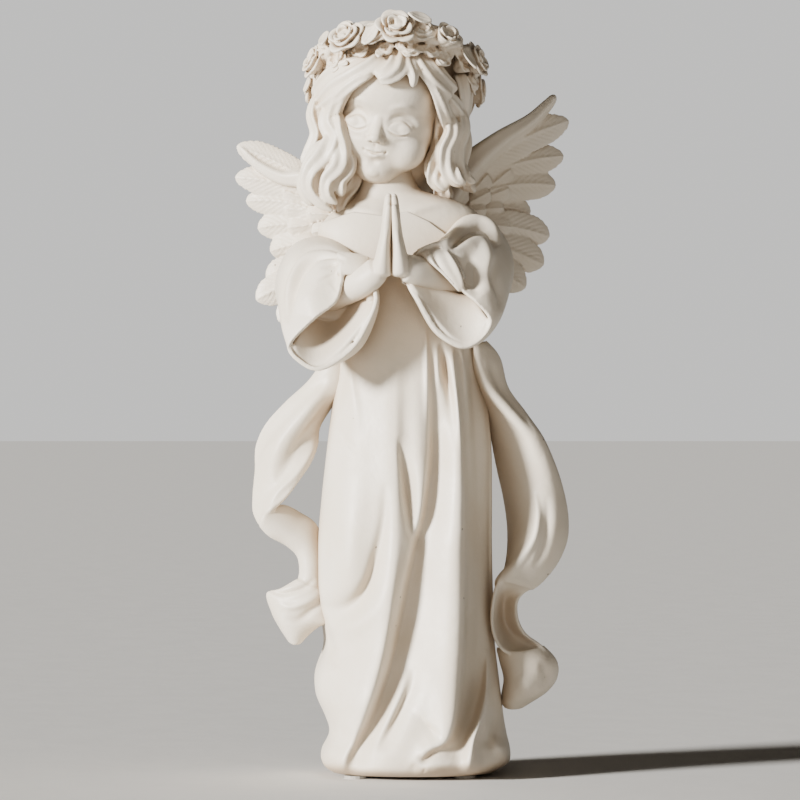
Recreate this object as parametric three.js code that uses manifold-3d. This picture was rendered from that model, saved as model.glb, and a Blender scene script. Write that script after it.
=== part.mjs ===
// Praying angel figurine in cast resin, as the separate castings, pins, plug and pads it is glued up from.
// Millimetres, +Z up, the figure faces -Y. Left and right are the figure's own.

import * as THREE from "three";
import { mergeVertices } from "three/addons/utils/BufferGeometryUtils.js";
import Module from "manifold-3d";

const wasm = await Module();
wasm.setup();

// ---- Driving dimensions ----

const HEIGHT = 380; // shelf to the top of the hair
const WIDTH = 174; // wing tip to wing tip
const DEPTH = 122; // fingertips to the back of the hair
const GAP = 0.3; // glue gap between two castings
const WALL = 6; // resin around the hollow of the gown
const FLOOR = 9; // resin under the hollow of the gown
const CROWN = 15.5; // resin between the hollow of the gown and the socket of the bust
const FOLD_ROOM = 4; // the hollow clears the valleys of the folds by this much more than the wall
const PLUG_DIAMETER = 26; // filler hole in the underside
const PLUG_FLANGE = 34; // flange of the plug, let into the underside
const PLUG_FLANGE_HEIGHT = 2;
const PAD_DIAMETER = 11;
const PAD_HEIGHT = 1.5;
const PIN_CLEARANCE = 0.15; // all round a steel pin
const NECK_PIN = { diameter: 5, length: 22 };
const WING_PIN = { diameter: 4, length: 18 };
const SASH_PIN = { diameter: 2.5, length: 11 };
const BUST_SPIGOT = { diameter: 18, length: 9 };
const SHORTEST_EDGE = 0.08; // facets finer than this are drawn together

// The figure was modelled this large, and every sculpted point is scaled from it.
const SCULPT = { width: 174, depth: 122, height: 380 };
const SCALE = new THREE.Vector3(WIDTH / SCULPT.width, DEPTH / SCULPT.depth, HEIGHT / SCULPT.height);
const UNDERSIDE = PAD_HEIGHT + GAP; // underside of the gown, above the shelf
const BUST_JOINT = 260.5; // sculpted height of the seam between the gown and the bust
const NECK_JOINT = 284; // sculpted height of the seam between the bust and the head

const at = ([x, y, z]) => new THREE.Vector3(x, y, z).multiply(SCALE);

// ---- From three.js geometry to solids and back ----

/** A closed three.js geometry as a solid, with its faces turned outwards. */
function solidOf(geometry) {
  const bare = geometry.clone();
  bare.deleteAttribute("normal");
  bare.deleteAttribute("uv");
  const merged = mergeVertices(bare, 1e-3);
  const triVerts = new Uint32Array(merged.index.array);
  const build = () => {
    const vertProperties = merged.attributes.position.array;
    return new wasm.Manifold(new wasm.Mesh({ numProp: 3, vertProperties, triVerts }));
  };
  const solid = build();
  if (solid.volume() > 0) return solid;
  for (let i = 0; i < triVerts.length; i += 3) {
    [triVerts[i + 1], triVerts[i + 2]] = [triVerts[i + 2], triVerts[i + 1]];
  }
  return build();
}

/** A solid as an indexed three.js geometry. */
function geometryOf(solid) {
  const { vertProperties, triVerts, numProp, numVert } = solid.getMesh();
  const positions = new Float32Array(numVert * 3);
  for (let i = 0; i < numVert; i++) {
    positions.set(vertProperties.subarray(i * numProp, i * numProp + 3), i * 3);
  }
  const geometry = new THREE.BufferGeometry();
  geometry.setAttribute("position", new THREE.BufferAttribute(positions, 3));
  geometry.setIndex(new THREE.BufferAttribute(new Uint32Array(triVerts), 1));
  geometry.computeVertexNormals();
  return geometry;
}

/** A copy of a solid whose skin has moved outwards by a distance. */
function swollen(solid, distance = GAP) {
  const geometry = geometryOf(solid);
  const { position, normal } = geometry.attributes;
  for (let i = 0; i < position.count; i++) {
    const moved = new THREE.Vector3()
      .fromBufferAttribute(position, i)
      .addScaledVector(new THREE.Vector3().fromBufferAttribute(normal, i), distance);
    position.setXYZ(i, moved.x, moved.y, moved.z);
  }
  return solidOf(geometry);
}

/** The largest connected body of a solid. */
function mainBody(solid) {
  return solid.decompose().reduce((a, b) => (a.volume() > b.volume() ? a : b));
}

/** A solid trimmed back so that it seats on its neighbours with the glue gap. */
function seatedOn(solid, ...neighbours) {
  const trimmed = neighbours.reduce((rest, neighbour) => rest.subtract(swollen(neighbour)), solid);
  return mainBody(trimmed);
}

/** A solid with its shortest edges drawn together, so that two cuts that nearly meet leave no sliver. */
function cleaned(solid) {
  const geometry = geometryOf(solid);
  const corners = geometry.index.array;
  const point = (i) => new THREE.Vector3().fromBufferAttribute(geometry.attributes.position, i);
  const home = Array.from({ length: geometry.attributes.position.count }, (_, i) => i);
  const rootOf = (i) => (home[i] === i ? i : rootOf(home[i]));
  corners.forEach((corner, i) => {
    const next = corners[i % 3 === 2 ? i - 2 : i + 1];
    if (point(corner).distanceTo(point(next)) < SHORTEST_EDGE) home[rootOf(corner)] = rootOf(next);
  });
  const kept = new Map();
  for (let i = 0; i < corners.length; i += 3) {
    const triangle = [...corners.slice(i, i + 3)].map(rootOf);
    const key = triangle.toSorted((a, b) => a - b).join(" ");
    if (new Set(triangle).size < 3) continue;
    if (kept.has(key)) kept.delete(key); // two faces back to back
    else kept.set(key, triangle);
  }
  geometry.setIndex([...kept.values()].flat());
  return mainBody(solidOf(geometry));
}

const joined = (...solids) => solids.reduce((whole, solid) => whole.add(solid));

// ---- Shapes ----

/** An ellipsoid at a sculpted point, leaning to the figure's left by an angle in degrees. */
function ball(centre, radii, lean = 0, around = 20) {
  const geometry = new THREE.SphereGeometry(1, around, Math.round(around * 0.7));
  geometry.rotateX(Math.PI / 2);
  geometry.scale(...radii);
  geometry.rotateY(THREE.MathUtils.degToRad(lean));
  geometry.translate(...centre);
  geometry.scale(...SCALE);
  return solidOf(geometry);
}

/** A plain rod between two real points, not scaled with the sculpture. */
function rod(start, end, diameter, around = 12) {
  const axis = end.clone().sub(start);
  const geometry = new THREE.CylinderGeometry(diameter / 2, diameter / 2, axis.length(), around);
  const turn = new THREE.Quaternion().setFromUnitVectors(new THREE.Vector3(0, 1, 0), axis.clone().normalize());
  geometry.applyQuaternion(turn);
  geometry.translate(...start.clone().lerp(end, 0.5));
  return solidOf(geometry);
}

/**
 * A solid through a row of elliptical rings. Each ring has a centre and two half axes, and a smooth curve
 * joins them. relief(angle, along) moves the skin outwards, as a share of the half axes.
 */
function loft(rings, { around = 16, steps = 3 * (rings.length - 1), relief = () => 0, flat = 1 } = {}) {
  const curve = (key) => new THREE.CatmullRomCurve3(rings.map((ring) => at(ring[key])));
  const [centres, firsts, seconds] = [curve("centre"), curve("first"), curve("second")];
  const geometry = new THREE.CylinderGeometry(1, 1, 1, around, steps);
  const position = geometry.attributes.position;
  const squared = (value) => Math.sign(value) * Math.abs(value) ** flat;
  for (let i = 0; i < position.count; i++) {
    const along = THREE.MathUtils.clamp(position.getY(i) + 0.5, 0, 1);
    const across = new THREE.Vector2(position.getZ(i), position.getX(i));
    const bulge = across.length() > 0.5 ? 1 + relief(across.angle(), along) : 1;
    const point = centres
      .getPoint(along)
      .addScaledVector(firsts.getPoint(along), squared(across.x) * bulge)
      .addScaledVector(seconds.getPoint(along), squared(across.y) * bulge);
    position.setXYZ(i, point.x, point.y, point.z);
  }
  return solidOf(geometry);
}

/** A level ring at a height, by how far it reaches to each side. */
const level = (z, right, left, front, back) => ({
  centre: [(right + left) / 2, (front + back) / 2, z],
  first: [(left - right) / 2, 0, 0],
  second: [0, (back - front) / 2, 0],
});

/** A ring from its centre and its two half axes. */
const ring = (centre, first, second) => ({ centre, first, second });

/** A round tapered limb through points, each with a radius. */
function limb(stations, options) {
  const points = stations.map(([x, y, z]) => new THREE.Vector3(x, y, z));
  const rings = stations.map(([x, y, z, radius], i) => {
    const ahead = points[Math.min(i + 1, points.length - 1)];
    const along = ahead.clone().sub(points[Math.max(i - 1, 0)]).normalize();
    const side = new THREE.Vector3(0, 1, 0).cross(along);
    if (side.length() < 0.3) side.set(1, 0, 0);
    side.normalize();
    const up = along.clone().cross(side);
    return ring([x, y, z], side.multiplyScalar(radius).toArray(), up.multiplyScalar(radius).toArray());
  });
  return loft(rings, { around: 10, ...options });
}

// ---- Gown: the hollow main casting ----

// Height, then reach to the figure's right and left, front and back.
const GOWN_OUTLINE = [
  [UNDERSIDE / SCALE.z, -37, 50, -42, 36],
  [9, -39, 53.5, -45, 39],
  [24, -36, 53, -43, 38],
  [42, -43, 50, -41, 38],
  [64, -38, 48.5, -38, 37],
  [90, -40, 46.5, -37, 36],
  [128, -40, 46.5, -35, 34],
  [167, -36, 45.5, -31, 31],
  [200, -31, 42, -27, 28],
  [228, -28, 38, -24, 25],
  [246, -30, 36.5, -22, 23],
  [BUST_JOINT - 0.5, -33, 37, -19, 21],
];

// Folds of the skirt: where each crosses the front, from its foot to its top, with its height and width as
// shares of the gown's own reach there.
const GOWN_FOLDS = [
  { foot: -0.62, top: -0.28, height: 0.07, width: 0.24 },
  { foot: -0.1, top: -0.02, height: -0.08, width: 0.13 },
  { foot: 0.26, top: 0.34, height: 0.09, width: 0.14 },
  { foot: 0.6, top: 0.5, height: -0.07, width: 0.12 },
  { foot: 0.86, top: 0.78, height: 0.05, width: 0.12 },
];
const BACK_FOLDS = { count: 9, height: 0.035 };
const FOLDS_FADE_AT = 0.82; // share of the gown's height where the folds have run out

function gownRelief(angle, along) {
  const across = Math.cos(angle);
  const isBack = Math.sin(angle) > 0;
  const strength = Math.max(0, 1 - along / FOLDS_FADE_AT);
  if (isBack) return BACK_FOLDS.height * strength * Math.cos(BACK_FOLDS.count * angle) * Math.sin(angle);
  const fade = Math.min(1, -4 * Math.sin(angle));
  return GOWN_FOLDS.reduce((sum, fold) => {
    const centre = THREE.MathUtils.lerp(fold.foot, fold.top, along);
    return sum + strength * fade * fold.height * Math.exp(-(((across - centre) / fold.width) ** 2));
  }, 0);
}

const gownRings = GOWN_OUTLINE.map(([z, ...reach]) => level(z, ...reach));
const gownSkin = loft(gownRings, { around: 36, steps: 15, relief: gownRelief });

function gownHollow() {
  const bottom = (UNDERSIDE + FLOOR) / SCALE.z;
  const top = BUST_JOINT - (BUST_SPIGOT.length + CROWN) / SCALE.z;
  const sideways = (WALL + FOLD_ROOM) / SCALE.x;
  const endways = (WALL + FOLD_ROOM) / SCALE.y;
  const inner = GOWN_OUTLINE.filter(([z]) => z > 20 && z < top);
  const rings = [
    [bottom, ...inner[0].slice(1)],
    ...inner.slice(1),
    [top, ...GOWN_OUTLINE.at(-2).slice(1)],
  ].map(([z, right, left, front, back]) => {
    return level(z, right + sideways, left - sideways, front + endways, back - endways);
  });
  return loft(rings, { around: 20, steps: 8 });
}

const plugHole = joined(
  rod(new THREE.Vector3(0, 0, 0), new THREE.Vector3(0, 0, UNDERSIDE + FLOOR + WALL), PLUG_DIAMETER, 24),
  rod(new THREE.Vector3(0, 0, 0), new THREE.Vector3(0, 0, UNDERSIDE + PLUG_FLANGE_HEIGHT), PLUG_FLANGE, 24),
);

/** The filler plug: a flange let into the underside, and a hollow stopper above it. */
function basePlug() {
  const outer = PLUG_DIAMETER / 2 - GAP;
  const flange = PLUG_FLANGE / 2 - GAP;
  const low = UNDERSIDE;
  const seat = low + PLUG_FLANGE_HEIGHT - GAP;
  const high = UNDERSIDE + FLOOR;
  const skin = 2;
  const profile = [
    [0, low],
    [flange - 0.6, low],
    [flange, low + 0.6],
    [flange, seat],
    [outer, seat],
    [outer - 0.5, high],
    [outer - skin - 0.5, high],
    [outer - skin - 0.5, low + skin],
    [0, low + skin],
  ].map(([radius, z]) => new THREE.Vector2(radius, z));
  const geometry = new THREE.LatheGeometry(profile, 24);
  geometry.rotateX(Math.PI / 2);
  return solidOf(geometry);
}

// ---- Bust, neck and head ----

const bustSkin = loft(
  [
    level(BUST_JOINT, -32, 36, -19, 21),
    level(268, -36, 40, -18, 20),
    level(275, -35, 40, -15, 18),
    level(280, -29, 34, -12, 16),
    level(NECK_JOINT, -22, 18, -9, 14.5),
  ],
  { around: 20, steps: 8 },
);

const spigotBase = at([2, 1, BUST_JOINT]);
const spigot = (extra) => {
  const start = spigotBase.clone().setZ(spigotBase.z - BUST_SPIGOT.length - extra);
  const end = spigotBase.clone().setZ(spigotBase.z + 4);
  return rod(start, end, BUST_SPIGOT.diameter + 2 * extra, 24);
};

const HEAD_LEAN = 10; // degrees towards the figure's left
const neckSkin = loft(
  [
    level(NECK_JOINT + 0.4, -22, 14, -8, 14),
    level(288, -20, 9, -7, 14),
    level(296, -19, 7, -7, 14),
    level(312, -18, 8, -8, 14),
  ],
  { around: 16, steps: 5 },
);
const skull = ball([-4, 6, 341], [28, 33, 33], HEAD_LEAN, 18);
const jaw = ball([-9, -7, 319], [21, 20, 21], HEAD_LEAN, 16);
const nose = ball([-10, -27, 319], [3.2, 4, 4], HEAD_LEAN, 8);
const headSkin = joined(skull, jaw, neckSkin, nose);

const neckPinFoot = at([-5, 3, NECK_JOINT]).add(new THREE.Vector3(0, 0, -NECK_PIN.length / 2));
const neckPinHead = neckPinFoot.clone().add(new THREE.Vector3(0, 0, NECK_PIN.length));

// ---- Hair and wreath ----

const capOutside = ball([-3, 10, 343], [38, 41, 37], HEAD_LEAN, 20);
const faceOpening = ball([-9, -36, 324], [26, 30, 33], HEAD_LEAN, 14);
const capBelow = ball([-4, -4, 286], [44, 40, 32], 0, 14);
const capSkin = mainBody(capOutside.subtract(faceOpening).subtract(capBelow));

const tressRight = [
  [-36, 2, 334, 7],
  [-42, -2, 319, 8],
  [-44, -5, 305, 9],
  [-38, -7, 294, 8],
  [-31, -9, 284, 4],
];
const tressLeft = [
  [31, 4, 330, 7],
  [33, 0, 317, 9],
  [31, 0, 305, 9],
  [35, 2, 297, 7],
  [45, 4, 290, 3],
];
const tressBack = [
  [-3, 40, 335, 20],
  [-3, 40, 320, 23],
  [-3, 37, 303, 22],
  [-2, 33, 288, 15],
  [-2, 31, 277, 6],
];

// The wreath lies round the head, high over the brow and low behind the ears.
const WREATH = { centre: [-2, 8, 350], across: 38.5, deep: 41, slope: 27, tube: 3.6, roses: 10 };

/** A point of the wreath's ring, an angle round it from the figure's left, at a distance from the ring's tube. */
function wreathPoint(angle, outwards = 0) {
  const radii = [WREATH.across + outwards, WREATH.deep + outwards];
  const flat = new THREE.Vector3(radii[0] * Math.cos(angle), radii[1] * Math.sin(angle), 0);
  flat.applyAxisAngle(new THREE.Vector3(1, 0, 0), THREE.MathUtils.degToRad(-WREATH.slope));
  return flat.add(new THREE.Vector3(...WREATH.centre));
}

function wreathBand() {
  const geometry = new THREE.TorusGeometry(1, WREATH.tube / WREATH.across, 6, 32);
  geometry.scale(WREATH.across, WREATH.deep, WREATH.across);
  geometry.rotateX(THREE.MathUtils.degToRad(-WREATH.slope));
  geometry.translate(...WREATH.centre);
  geometry.scale(...SCALE);
  return solidOf(geometry);
}

const ROSE = { radius: 8.4, height: 9 };

/** A rose with its back on the hair, facing out from the wreath. */
function rose(angle) {
  const { radius, height } = ROSE;
  const profile = [
    [0, -height * 0.45],
    [radius * 0.6, -height * 0.35],
    [radius, height * 0.05],
    [radius * 0.86, height * 0.3],
    [radius * 0.62, height * 0.22],
    [radius * 0.5, height * 0.48],
    [radius * 0.22, height * 0.42],
    [0, height * 0.55],
  ].map(([r, h]) => new THREE.Vector2(r, h));
  const geometry = new THREE.LatheGeometry(profile, 8);
  const middle = new THREE.Vector3(...WREATH.centre);
  const seat = wreathPoint(angle, 2.5);
  const outwards = seat.clone().sub(middle).normalize().add(new THREE.Vector3(0, -0.15, 0.25)).normalize();
  geometry.applyQuaternion(new THREE.Quaternion().setFromUnitVectors(new THREE.Vector3(0, 1, 0), outwards));
  geometry.translate(...seat);
  geometry.scale(...SCALE);
  return solidOf(geometry);
}

/** A leaf between two roses, standing up or down from the band. */
function leaf(angle, side) {
  const seat = wreathPoint(angle, 3.5);
  const outwards = seat.clone().sub(new THREE.Vector3(...WREATH.centre)).normalize();
  const up = new THREE.Vector3(0, 0, side);
  const stations = [0, 0.35, 0.75, 1].map((share, i) => {
    const width = [2, 4.4, 3.4, 0.8][i];
    const centre = seat.clone().addScaledVector(up, 9 * share).addScaledVector(outwards, 3 * share);
    const across = outwards.clone().cross(up).normalize();
    const thick = outwards.clone().multiplyScalar(1.8 * (1 - 0.5 * share));
    return ring(centre.toArray(), across.multiplyScalar(width).toArray(), thick.toArray());
  });
  return loft(stations, { around: 6, steps: 4 });
}

// ---- Arms: bell sleeves, forearms and praying hands ----

// Each sleeve: a puff over the shoulder, and the rings of its bell from there to the cuff.
const SLEEVE_RIGHT = {
  puff: { centre: [-45, 0, 251], radii: [17, 18, 21] },
  bell: [
    ring([-46, -2, 248], [13, 0, 14], [-10, 3, 13]),
    ring([-42, -20, 240], [16, 0, 17], [-11, 3, 13]),
    ring([-37, -36, 233], [19, 0, 18], [-11, 3, 15]),
    ring([-33, -49, 229], [21, 0, 17], [-12, 2, 17]),
  ],
};
const SLEEVE_LEFT = {
  puff: { centre: [40, 1, 256], radii: [16, 17, 22] },
  bell: [
    ring([44, -2, 249], [11, 0, -14], [8, 3, 12]),
    ring([39, -20, 241], [13, 0, -16], [8, 3, 12]),
    ring([32, -36, 235], [16, 0, -18], [9, 3, 12]),
    ring([25, -49, 231], [19, 0, -19], [10, 2, 11]),
  ],
};

/** The hollow of a bell sleeve, from in front of its cuff back to half way up the forearm. */
function cuffHollow(rings) {
  const [third, fourth, last] = rings.slice(-3);
  const shrink = (from, share, forward) => ({
    centre: [from.centre[0], from.centre[1] - forward, from.centre[2]],
    first: from.first.map((value) => value * share),
    second: from.second.map((value) => value * share),
  });
  return loft([shrink(third, 0.4, 0), shrink(fourth, 0.72, 0), shrink(last, 0.86, 0), shrink(last, 0.86, 6)], {
    around: 14,
    steps: 5,
  });
}

const PALM_PLANE = -2.5; // the palms meet here

/** A forearm with its praying hand, on one side of the palm plane: side is -1 for the right, +1 for the left. */
function forearm(side, elbow, wrist) {
  const x = (offset) => PALM_PLANE + side * offset;
  const arm = limb([elbow, [(elbow[0] + wrist[0]) / 2, -36, (elbow[2] + wrist[2]) / 2, 7], wrist], { steps: 5 });
  const palm = loft(
    [
      ring([x(8), -50, 250], [4, 0, 0], [0, 7, 0]),
      ring([x(5.4), -50, 256], [4.6, 0, 0], [0, 9.5, 0]),
      ring([x(4.4), -50, 264], [4, 0, 0], [0, 10, 0]),
      ring([x(3.6), -50, 270], [3.2, 0, 0], [0, 9, 0]),
    ],
    { around: 12, steps: 4 },
  );
  const fingers = [
    [-57.5, 283],
    [-52.8, 287],
    [-48, 288.5],
    [-43.4, 286],
  ].map(([y, tip]) => {
    return limb([[x(4), y, 266, 2.7], [x(3), y, 277, 2.5], [x(2.4), y, tip - 2, 2], [x(2.2), y, tip, 1]], {
      around: 8,
      steps: 4,
    });
  });
  const thumb = limb([[x(5), -42, 262, 3], [x(4), -38.5, 270, 2.7], [x(3.2), -37, 276, 1.6]], { around: 8, steps: 3 });
  const hand = joined(arm, palm, ...fingers, thumb);
  const half = new THREE.BoxGeometry(80, 120, 120);
  half.translate(x(40), -40, 260);
  half.scale(...SCALE);
  half.translate((side * GAP) / 2, 0, 0);
  return mainBody(hand.intersect(solidOf(half)));
}

const armRight = forearm(-1, [-42, -19, 239, 7.5], [-11.5, -49, 253, 5.6]);
const armLeft = forearm(1, [38, -19, 241, 6.5], [8, -49, 252, 5.6]);

// ---- Wings: overlapping feathers from one shoulder ----

/** A blade-shaped feather from its root to its tip, with its half width and half thickness. */
function feather(root, tip, width, thickness) {
  const [start, end] = [new THREE.Vector3(...root), new THREE.Vector3(...tip)];
  const along = end.clone().sub(start).normalize();
  const across = new THREE.Vector3(0, 1, 0).cross(along).normalize();
  const through = along.clone().cross(across);
  const stations = [
    [0, 0.55, 1],
    [0.35, 0.85, 1],
    [0.75, 1, 0.8],
    [0.93, 0.7, 0.6],
    [1, 0.25, 0.4],
  ].map(([share, wide, thick]) => {
    const centre = start.clone().lerp(end, share);
    const first = across.clone().multiplyScalar(width * wide);
    return ring(centre.toArray(), first.toArray(), through.clone().multiplyScalar(thickness * thick).toArray());
  });
  return loft(stations, { around: 6, steps: 5 });
}

// Feather tips of each wing, from the leading edge down, and the root where they all start.
const WING_LEFT = {
  shoulder: [[8, 22, 247, 8], [11, 25, 263, 10], [22, 32, 282, 10], [33, 36, 301, 9], [50, 42, 320, 5], [76, 50, 342, 2]],
  root: [30, 36, 292],
  feathers: [
    { tip: [86, 52, 331], width: 8.5 },
    { tip: [84, 54, 314], width: 8.5 },
    { tip: [80, 55, 300], width: 8.5 },
    { tip: [68, 53, 290], width: 8 },
    { tip: [77, 48, 277], width: 8 },
    { tip: [73, 45, 264], width: 8 },
    { tip: [64, 42, 252], width: 8 },
    { tip: [52, 38, 240], width: 8 },
  ],
};
const WING_RIGHT = {
  shoulder: [[-9, 22, 247, 8], [-12, 25, 261, 10], [-24, 33, 280, 10], [-44, 38, 299, 7], [-62, 44, 303, 4], [-82, 50, 316, 2]],
  root: [-32, 36, 280],
  feathers: [
    { tip: [-86, 52, 304], width: 8 },
    { tip: [-79, 54, 286], width: 8 },
    { tip: [-72, 54, 270], width: 8 },
    { tip: [-64, 52, 258], width: 8 },
    { tip: [-73, 46, 240], width: 8 },
    { tip: [-62, 42, 232], width: 8 },
    { tip: [-50, 38, 228], width: 8 },
  ],
};

function wing({ shoulder, root, feathers }) {
  const arm = limb(shoulder, { around: 10, steps: 8 });
  const blades = feathers.map(({ tip, width }, i) => {
    const lap = (i % 2) * 1.2; // neighbouring feathers lie one over the other
    return feather([root[0], root[1] + lap, root[2] - 1.5 * i], [tip[0], tip[1] + lap, tip[2]], width, 2.2);
  });
  return joined(arm, ...blades);
}

/** The two pins of a wing, from its root into the back of the bust and gown. */
function wingPins(side) {
  const reach = WING_PIN.length / 2;
  return [252, 266].map((z) => {
    const middle = at([side * 10, 22, z]);
    return [middle.clone().add(new THREE.Vector3(0, -reach, 0)), middle.clone().add(new THREE.Vector3(0, reach, 0))];
  });
}

// ---- Sashes: two broad ribbons that fly out beside the gown ----

// Rings of each sash from under the sleeve to its free end.
const sashRight = [
  ring([-36, -2, 205], [9, 0, -7], [1, 3, 1]),
  ring([-46, 2, 188], [15, -3, -9], [1, 3, 1]),
  ring([-58, 4, 167], [17, -6, -3], [0, 3, 0]),
  ring([-62, 2, 146], [14, 4, -6], [0, 3, 0]),
  ring([-63, -2, 130], [12, 2, -10], [1, 3, 1]),
  ring([-54, -6, 119], [8, 3, 11], [1, 3, 0]),
  ring([-46, -6, 104], [9, 4, 5], [1, 3, 0]),
  ring([-48, -8, 92], [11, 8, 4], [0, 3, 0]),
  ring([-52, -10, 80], [12, 6, 5], [1, 3, 1]),
  ring([-54, -10, 69], [6, 2, 3], [1, 3, 1]),
];
const sashLeft = [
  ring([44, -2, 212], [8, 0, 6], [1, -3, 1]),
  ring([52, 0, 190], [11, -3, 5], [1, -3, 1]),
  ring([60, 2, 165], [14, -7, 4], [1, -3, 0]),
  ring([66, 2, 140], [15, -8, 0], [0, -3, 0]),
  ring([66, 0, 118], [15, -7, -4], [0, -3, 0]),
  ring([60, -6, 101], [9, -3, -8], [0, -3, 0]),
  ring([54, -10, 84], [7, -4, 2], [0, -3, 0]),
  ring([60, -10, 68], [11, -6, 6], [0, -3, 0]),
  ring([65, -8, 54], [11, -4, 5], [0, -3, 0]),
  ring([62, -6, 41], [8, -2, 2], [0, -3, 0]),
];
const sash = (rings) => loft(rings, { around: 8, steps: 20, flat: 0.6 });

/** A pin from a point inside the gown to a point in a sash. */
function sashPin(inside, towards) {
  const start = at(inside);
  const along = at(towards).sub(start).normalize();
  return [start, start.clone().addScaledVector(along, SASH_PIN.length)];
}

const SASH_PINS = {
  sash_pin_right: sashPin([-27, -1, 190], [-45, 1, 190]),
  sash_pin_left: sashPin([37, 1, 192], [50, 1, 193]),
};

// ---- Assembly ----

const pinSolid = ([start, end], diameter) => rod(start, end, diameter);
const pinHole = ([start, end], diameter) => {
  const along = end.clone().sub(start).normalize().multiplyScalar(GAP);
  return rod(start.clone().sub(along), end.clone().add(along), diameter + 2 * PIN_CLEARANCE);
};

const neckPin = [neckPinFoot, neckPinHead];
const pinsRight = wingPins(-1);
const pinsLeft = wingPins(1);
const wingHoles = [...pinsRight, ...pinsLeft].map((pin) => pinHole(pin, WING_PIN.diameter));
const sashHoles = Object.values(SASH_PINS).map((pin) => pinHole(pin, SASH_PIN.diameter));
const bored = (solid, holes) => mainBody(holes.reduce((rest, hole) => rest.subtract(hole), solid));

const gown = bored(gownSkin.subtract(gownHollow()), [plugHole, spigot(GAP), ...wingHoles, ...sashHoles]);
const bust = bored(joined(bustSkin, spigot(0)), [pinHole(neckPin, NECK_PIN.diameter), ...wingHoles]);
const head = bored(headSkin, [pinHole(neckPin, NECK_PIN.diameter)]);

// Each piece is trimmed by the whole shapes of the pieces it is glued on to.
const torso = [gownSkin, bustSkin];
const hairCap = seatedOn(capSkin, headSkin, bustSkin);
const ringBand = wreathBand();
const band = seatedOn(ringBand, capOutside, headSkin);
const roseAngles = Array.from({ length: WREATH.roses }, (_, i) => ((i + 0.5) / WREATH.roses) * 2 * Math.PI);
const blooms = roseAngles.map(rose);
const roses = blooms.map((bloom) => seatedOn(bloom, capOutside, ringBand, headSkin));
const blades = roseAngles.map((angle, i) => leaf(angle + Math.PI / WREATH.roses, i % 2 ? 1 : -1));
const leaves = blades.map((blade) => seatedOn(blade, capOutside, ringBand, headSkin, ...blooms));
const wreath = [ringBand, ...blooms, ...blades];
const curls = [limb(tressRight), limb(tressLeft), limb(tressBack, { around: 14, steps: 7 })];
const tresses = curls.map((curl) => seatedOn(curl, headSkin, capOutside, bustSkin, ...wreath));

const sleeveShapes = [SLEEVE_RIGHT, SLEEVE_LEFT];
const sleeveSkins = sleeveShapes.map(({ puff, bell }) => {
  return joined(ball(puff.centre, puff.radii, 0, 16), loft(bell, { around: 18, steps: 6 }));
});
const arms = [armRight, armLeft];
const sleeves = sleeveShapes.map(({ bell }, i) => {
  return seatedOn(sleeveSkins[i].subtract(cuffHollow(bell)), ...torso, arms[i], ...curls);
});
const hands = arms.map((arm) => seatedOn(arm, ...torso));

const wings = [
  { shape: wing(WING_RIGHT), pins: pinsRight },
  { shape: wing(WING_LEFT), pins: pinsLeft },
].map(({ shape, pins }) => {
  const seated = seatedOn(shape, ...torso, ...sleeveSkins, headSkin, capOutside, ...curls, ...wreath);
  return bored(seated, pins.map((pin) => pinHole(pin, WING_PIN.diameter)));
});
const sashes = [sashRight, sashLeft].map((rings) => bored(seatedOn(sash(rings), ...torso, ...sleeveSkins), sashHoles));

const resin = new THREE.MeshStandardMaterial({ color: 0xe9e1d3, roughness: 0.62, metalness: 0 });
const steel = new THREE.MeshStandardMaterial({ color: 0x9a9c9e, roughness: 0.35, metalness: 1 });
const rubber = new THREE.MeshStandardMaterial({ color: 0x3a3936, roughness: 0.85, metalness: 0 });
const stopper = new THREE.MeshStandardMaterial({ color: 0xcfc8bb, roughness: 0.55, metalness: 0 });

const figure = new THREE.Group();

/** The same geometry with its facets listed from the highest down. */
function topDown(geometry) {
  const { index, attributes } = geometry;
  const height = (facet) => facet.reduce((sum, corner) => sum + attributes.position.getZ(corner), 0);
  const facets = Array.from({ length: index.count / 3 }, (_, i) => [...index.array.slice(3 * i, 3 * i + 3)]);
  geometry.setIndex(facets.sort((a, b) => height(b) - height(a)).flat());
  return geometry;
}

function place(name, solid, material) {
  const mesh = new THREE.Mesh(topDown(geometryOf(cleaned(solid))), material);
  mesh.name = name;
  figure.add(mesh);
}

place("gown", gown, resin);
place("bust", bust, resin);
place("head", head, resin);
place("hair_cap", hairCap, resin);
["tress_right", "tress_left", "tress_back"].forEach((name, i) => place(name, tresses[i], resin));
place("wreath_band", band, resin);
roses.forEach((solid, i) => place(`rose_${i + 1}`, solid, resin));
leaves.forEach((solid, i) => place(`leaf_${i + 1}`, solid, resin));
["right", "left"].forEach((side, i) => {
  place(`sleeve_${side}`, sleeves[i], resin);
  place(`hand_${side}`, hands[i], resin);
  place(`wing_${side}`, wings[i], resin);
  place(`sash_${side}`, sashes[i], resin);
});
place("neck_pin", pinSolid(neckPin, NECK_PIN.diameter), steel);
pinsRight.forEach((pin, i) => place(`wing_pin_right_${i + 1}`, pinSolid(pin, WING_PIN.diameter), steel));
pinsLeft.forEach((pin, i) => place(`wing_pin_left_${i + 1}`, pinSolid(pin, WING_PIN.diameter), steel));
Object.entries(SASH_PINS).forEach(([name, pin]) => place(name, pinSolid(pin, SASH_PIN.diameter), steel));
place("base_plug", basePlug(), stopper);

const PAD_PLACES = [[-22, -26], [32, -26], [-22, 22], [32, 22]];
PAD_PLACES.forEach(([x, y], i) => {
  const foot = at([x, y, 0]);
  const pad = rod(foot, foot.clone().setZ(PAD_HEIGHT), PAD_DIAMETER, 16);
  place(`foot_pad_${i + 1}`, pad, rubber);
});

// The origin is under the middle of the whole figure.
const bounds = new THREE.Box3().setFromObject(figure);
const middle = bounds.getCenter(new THREE.Vector3());
figure.position.set(-middle.x, -middle.y, 0);

export default figure;
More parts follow.
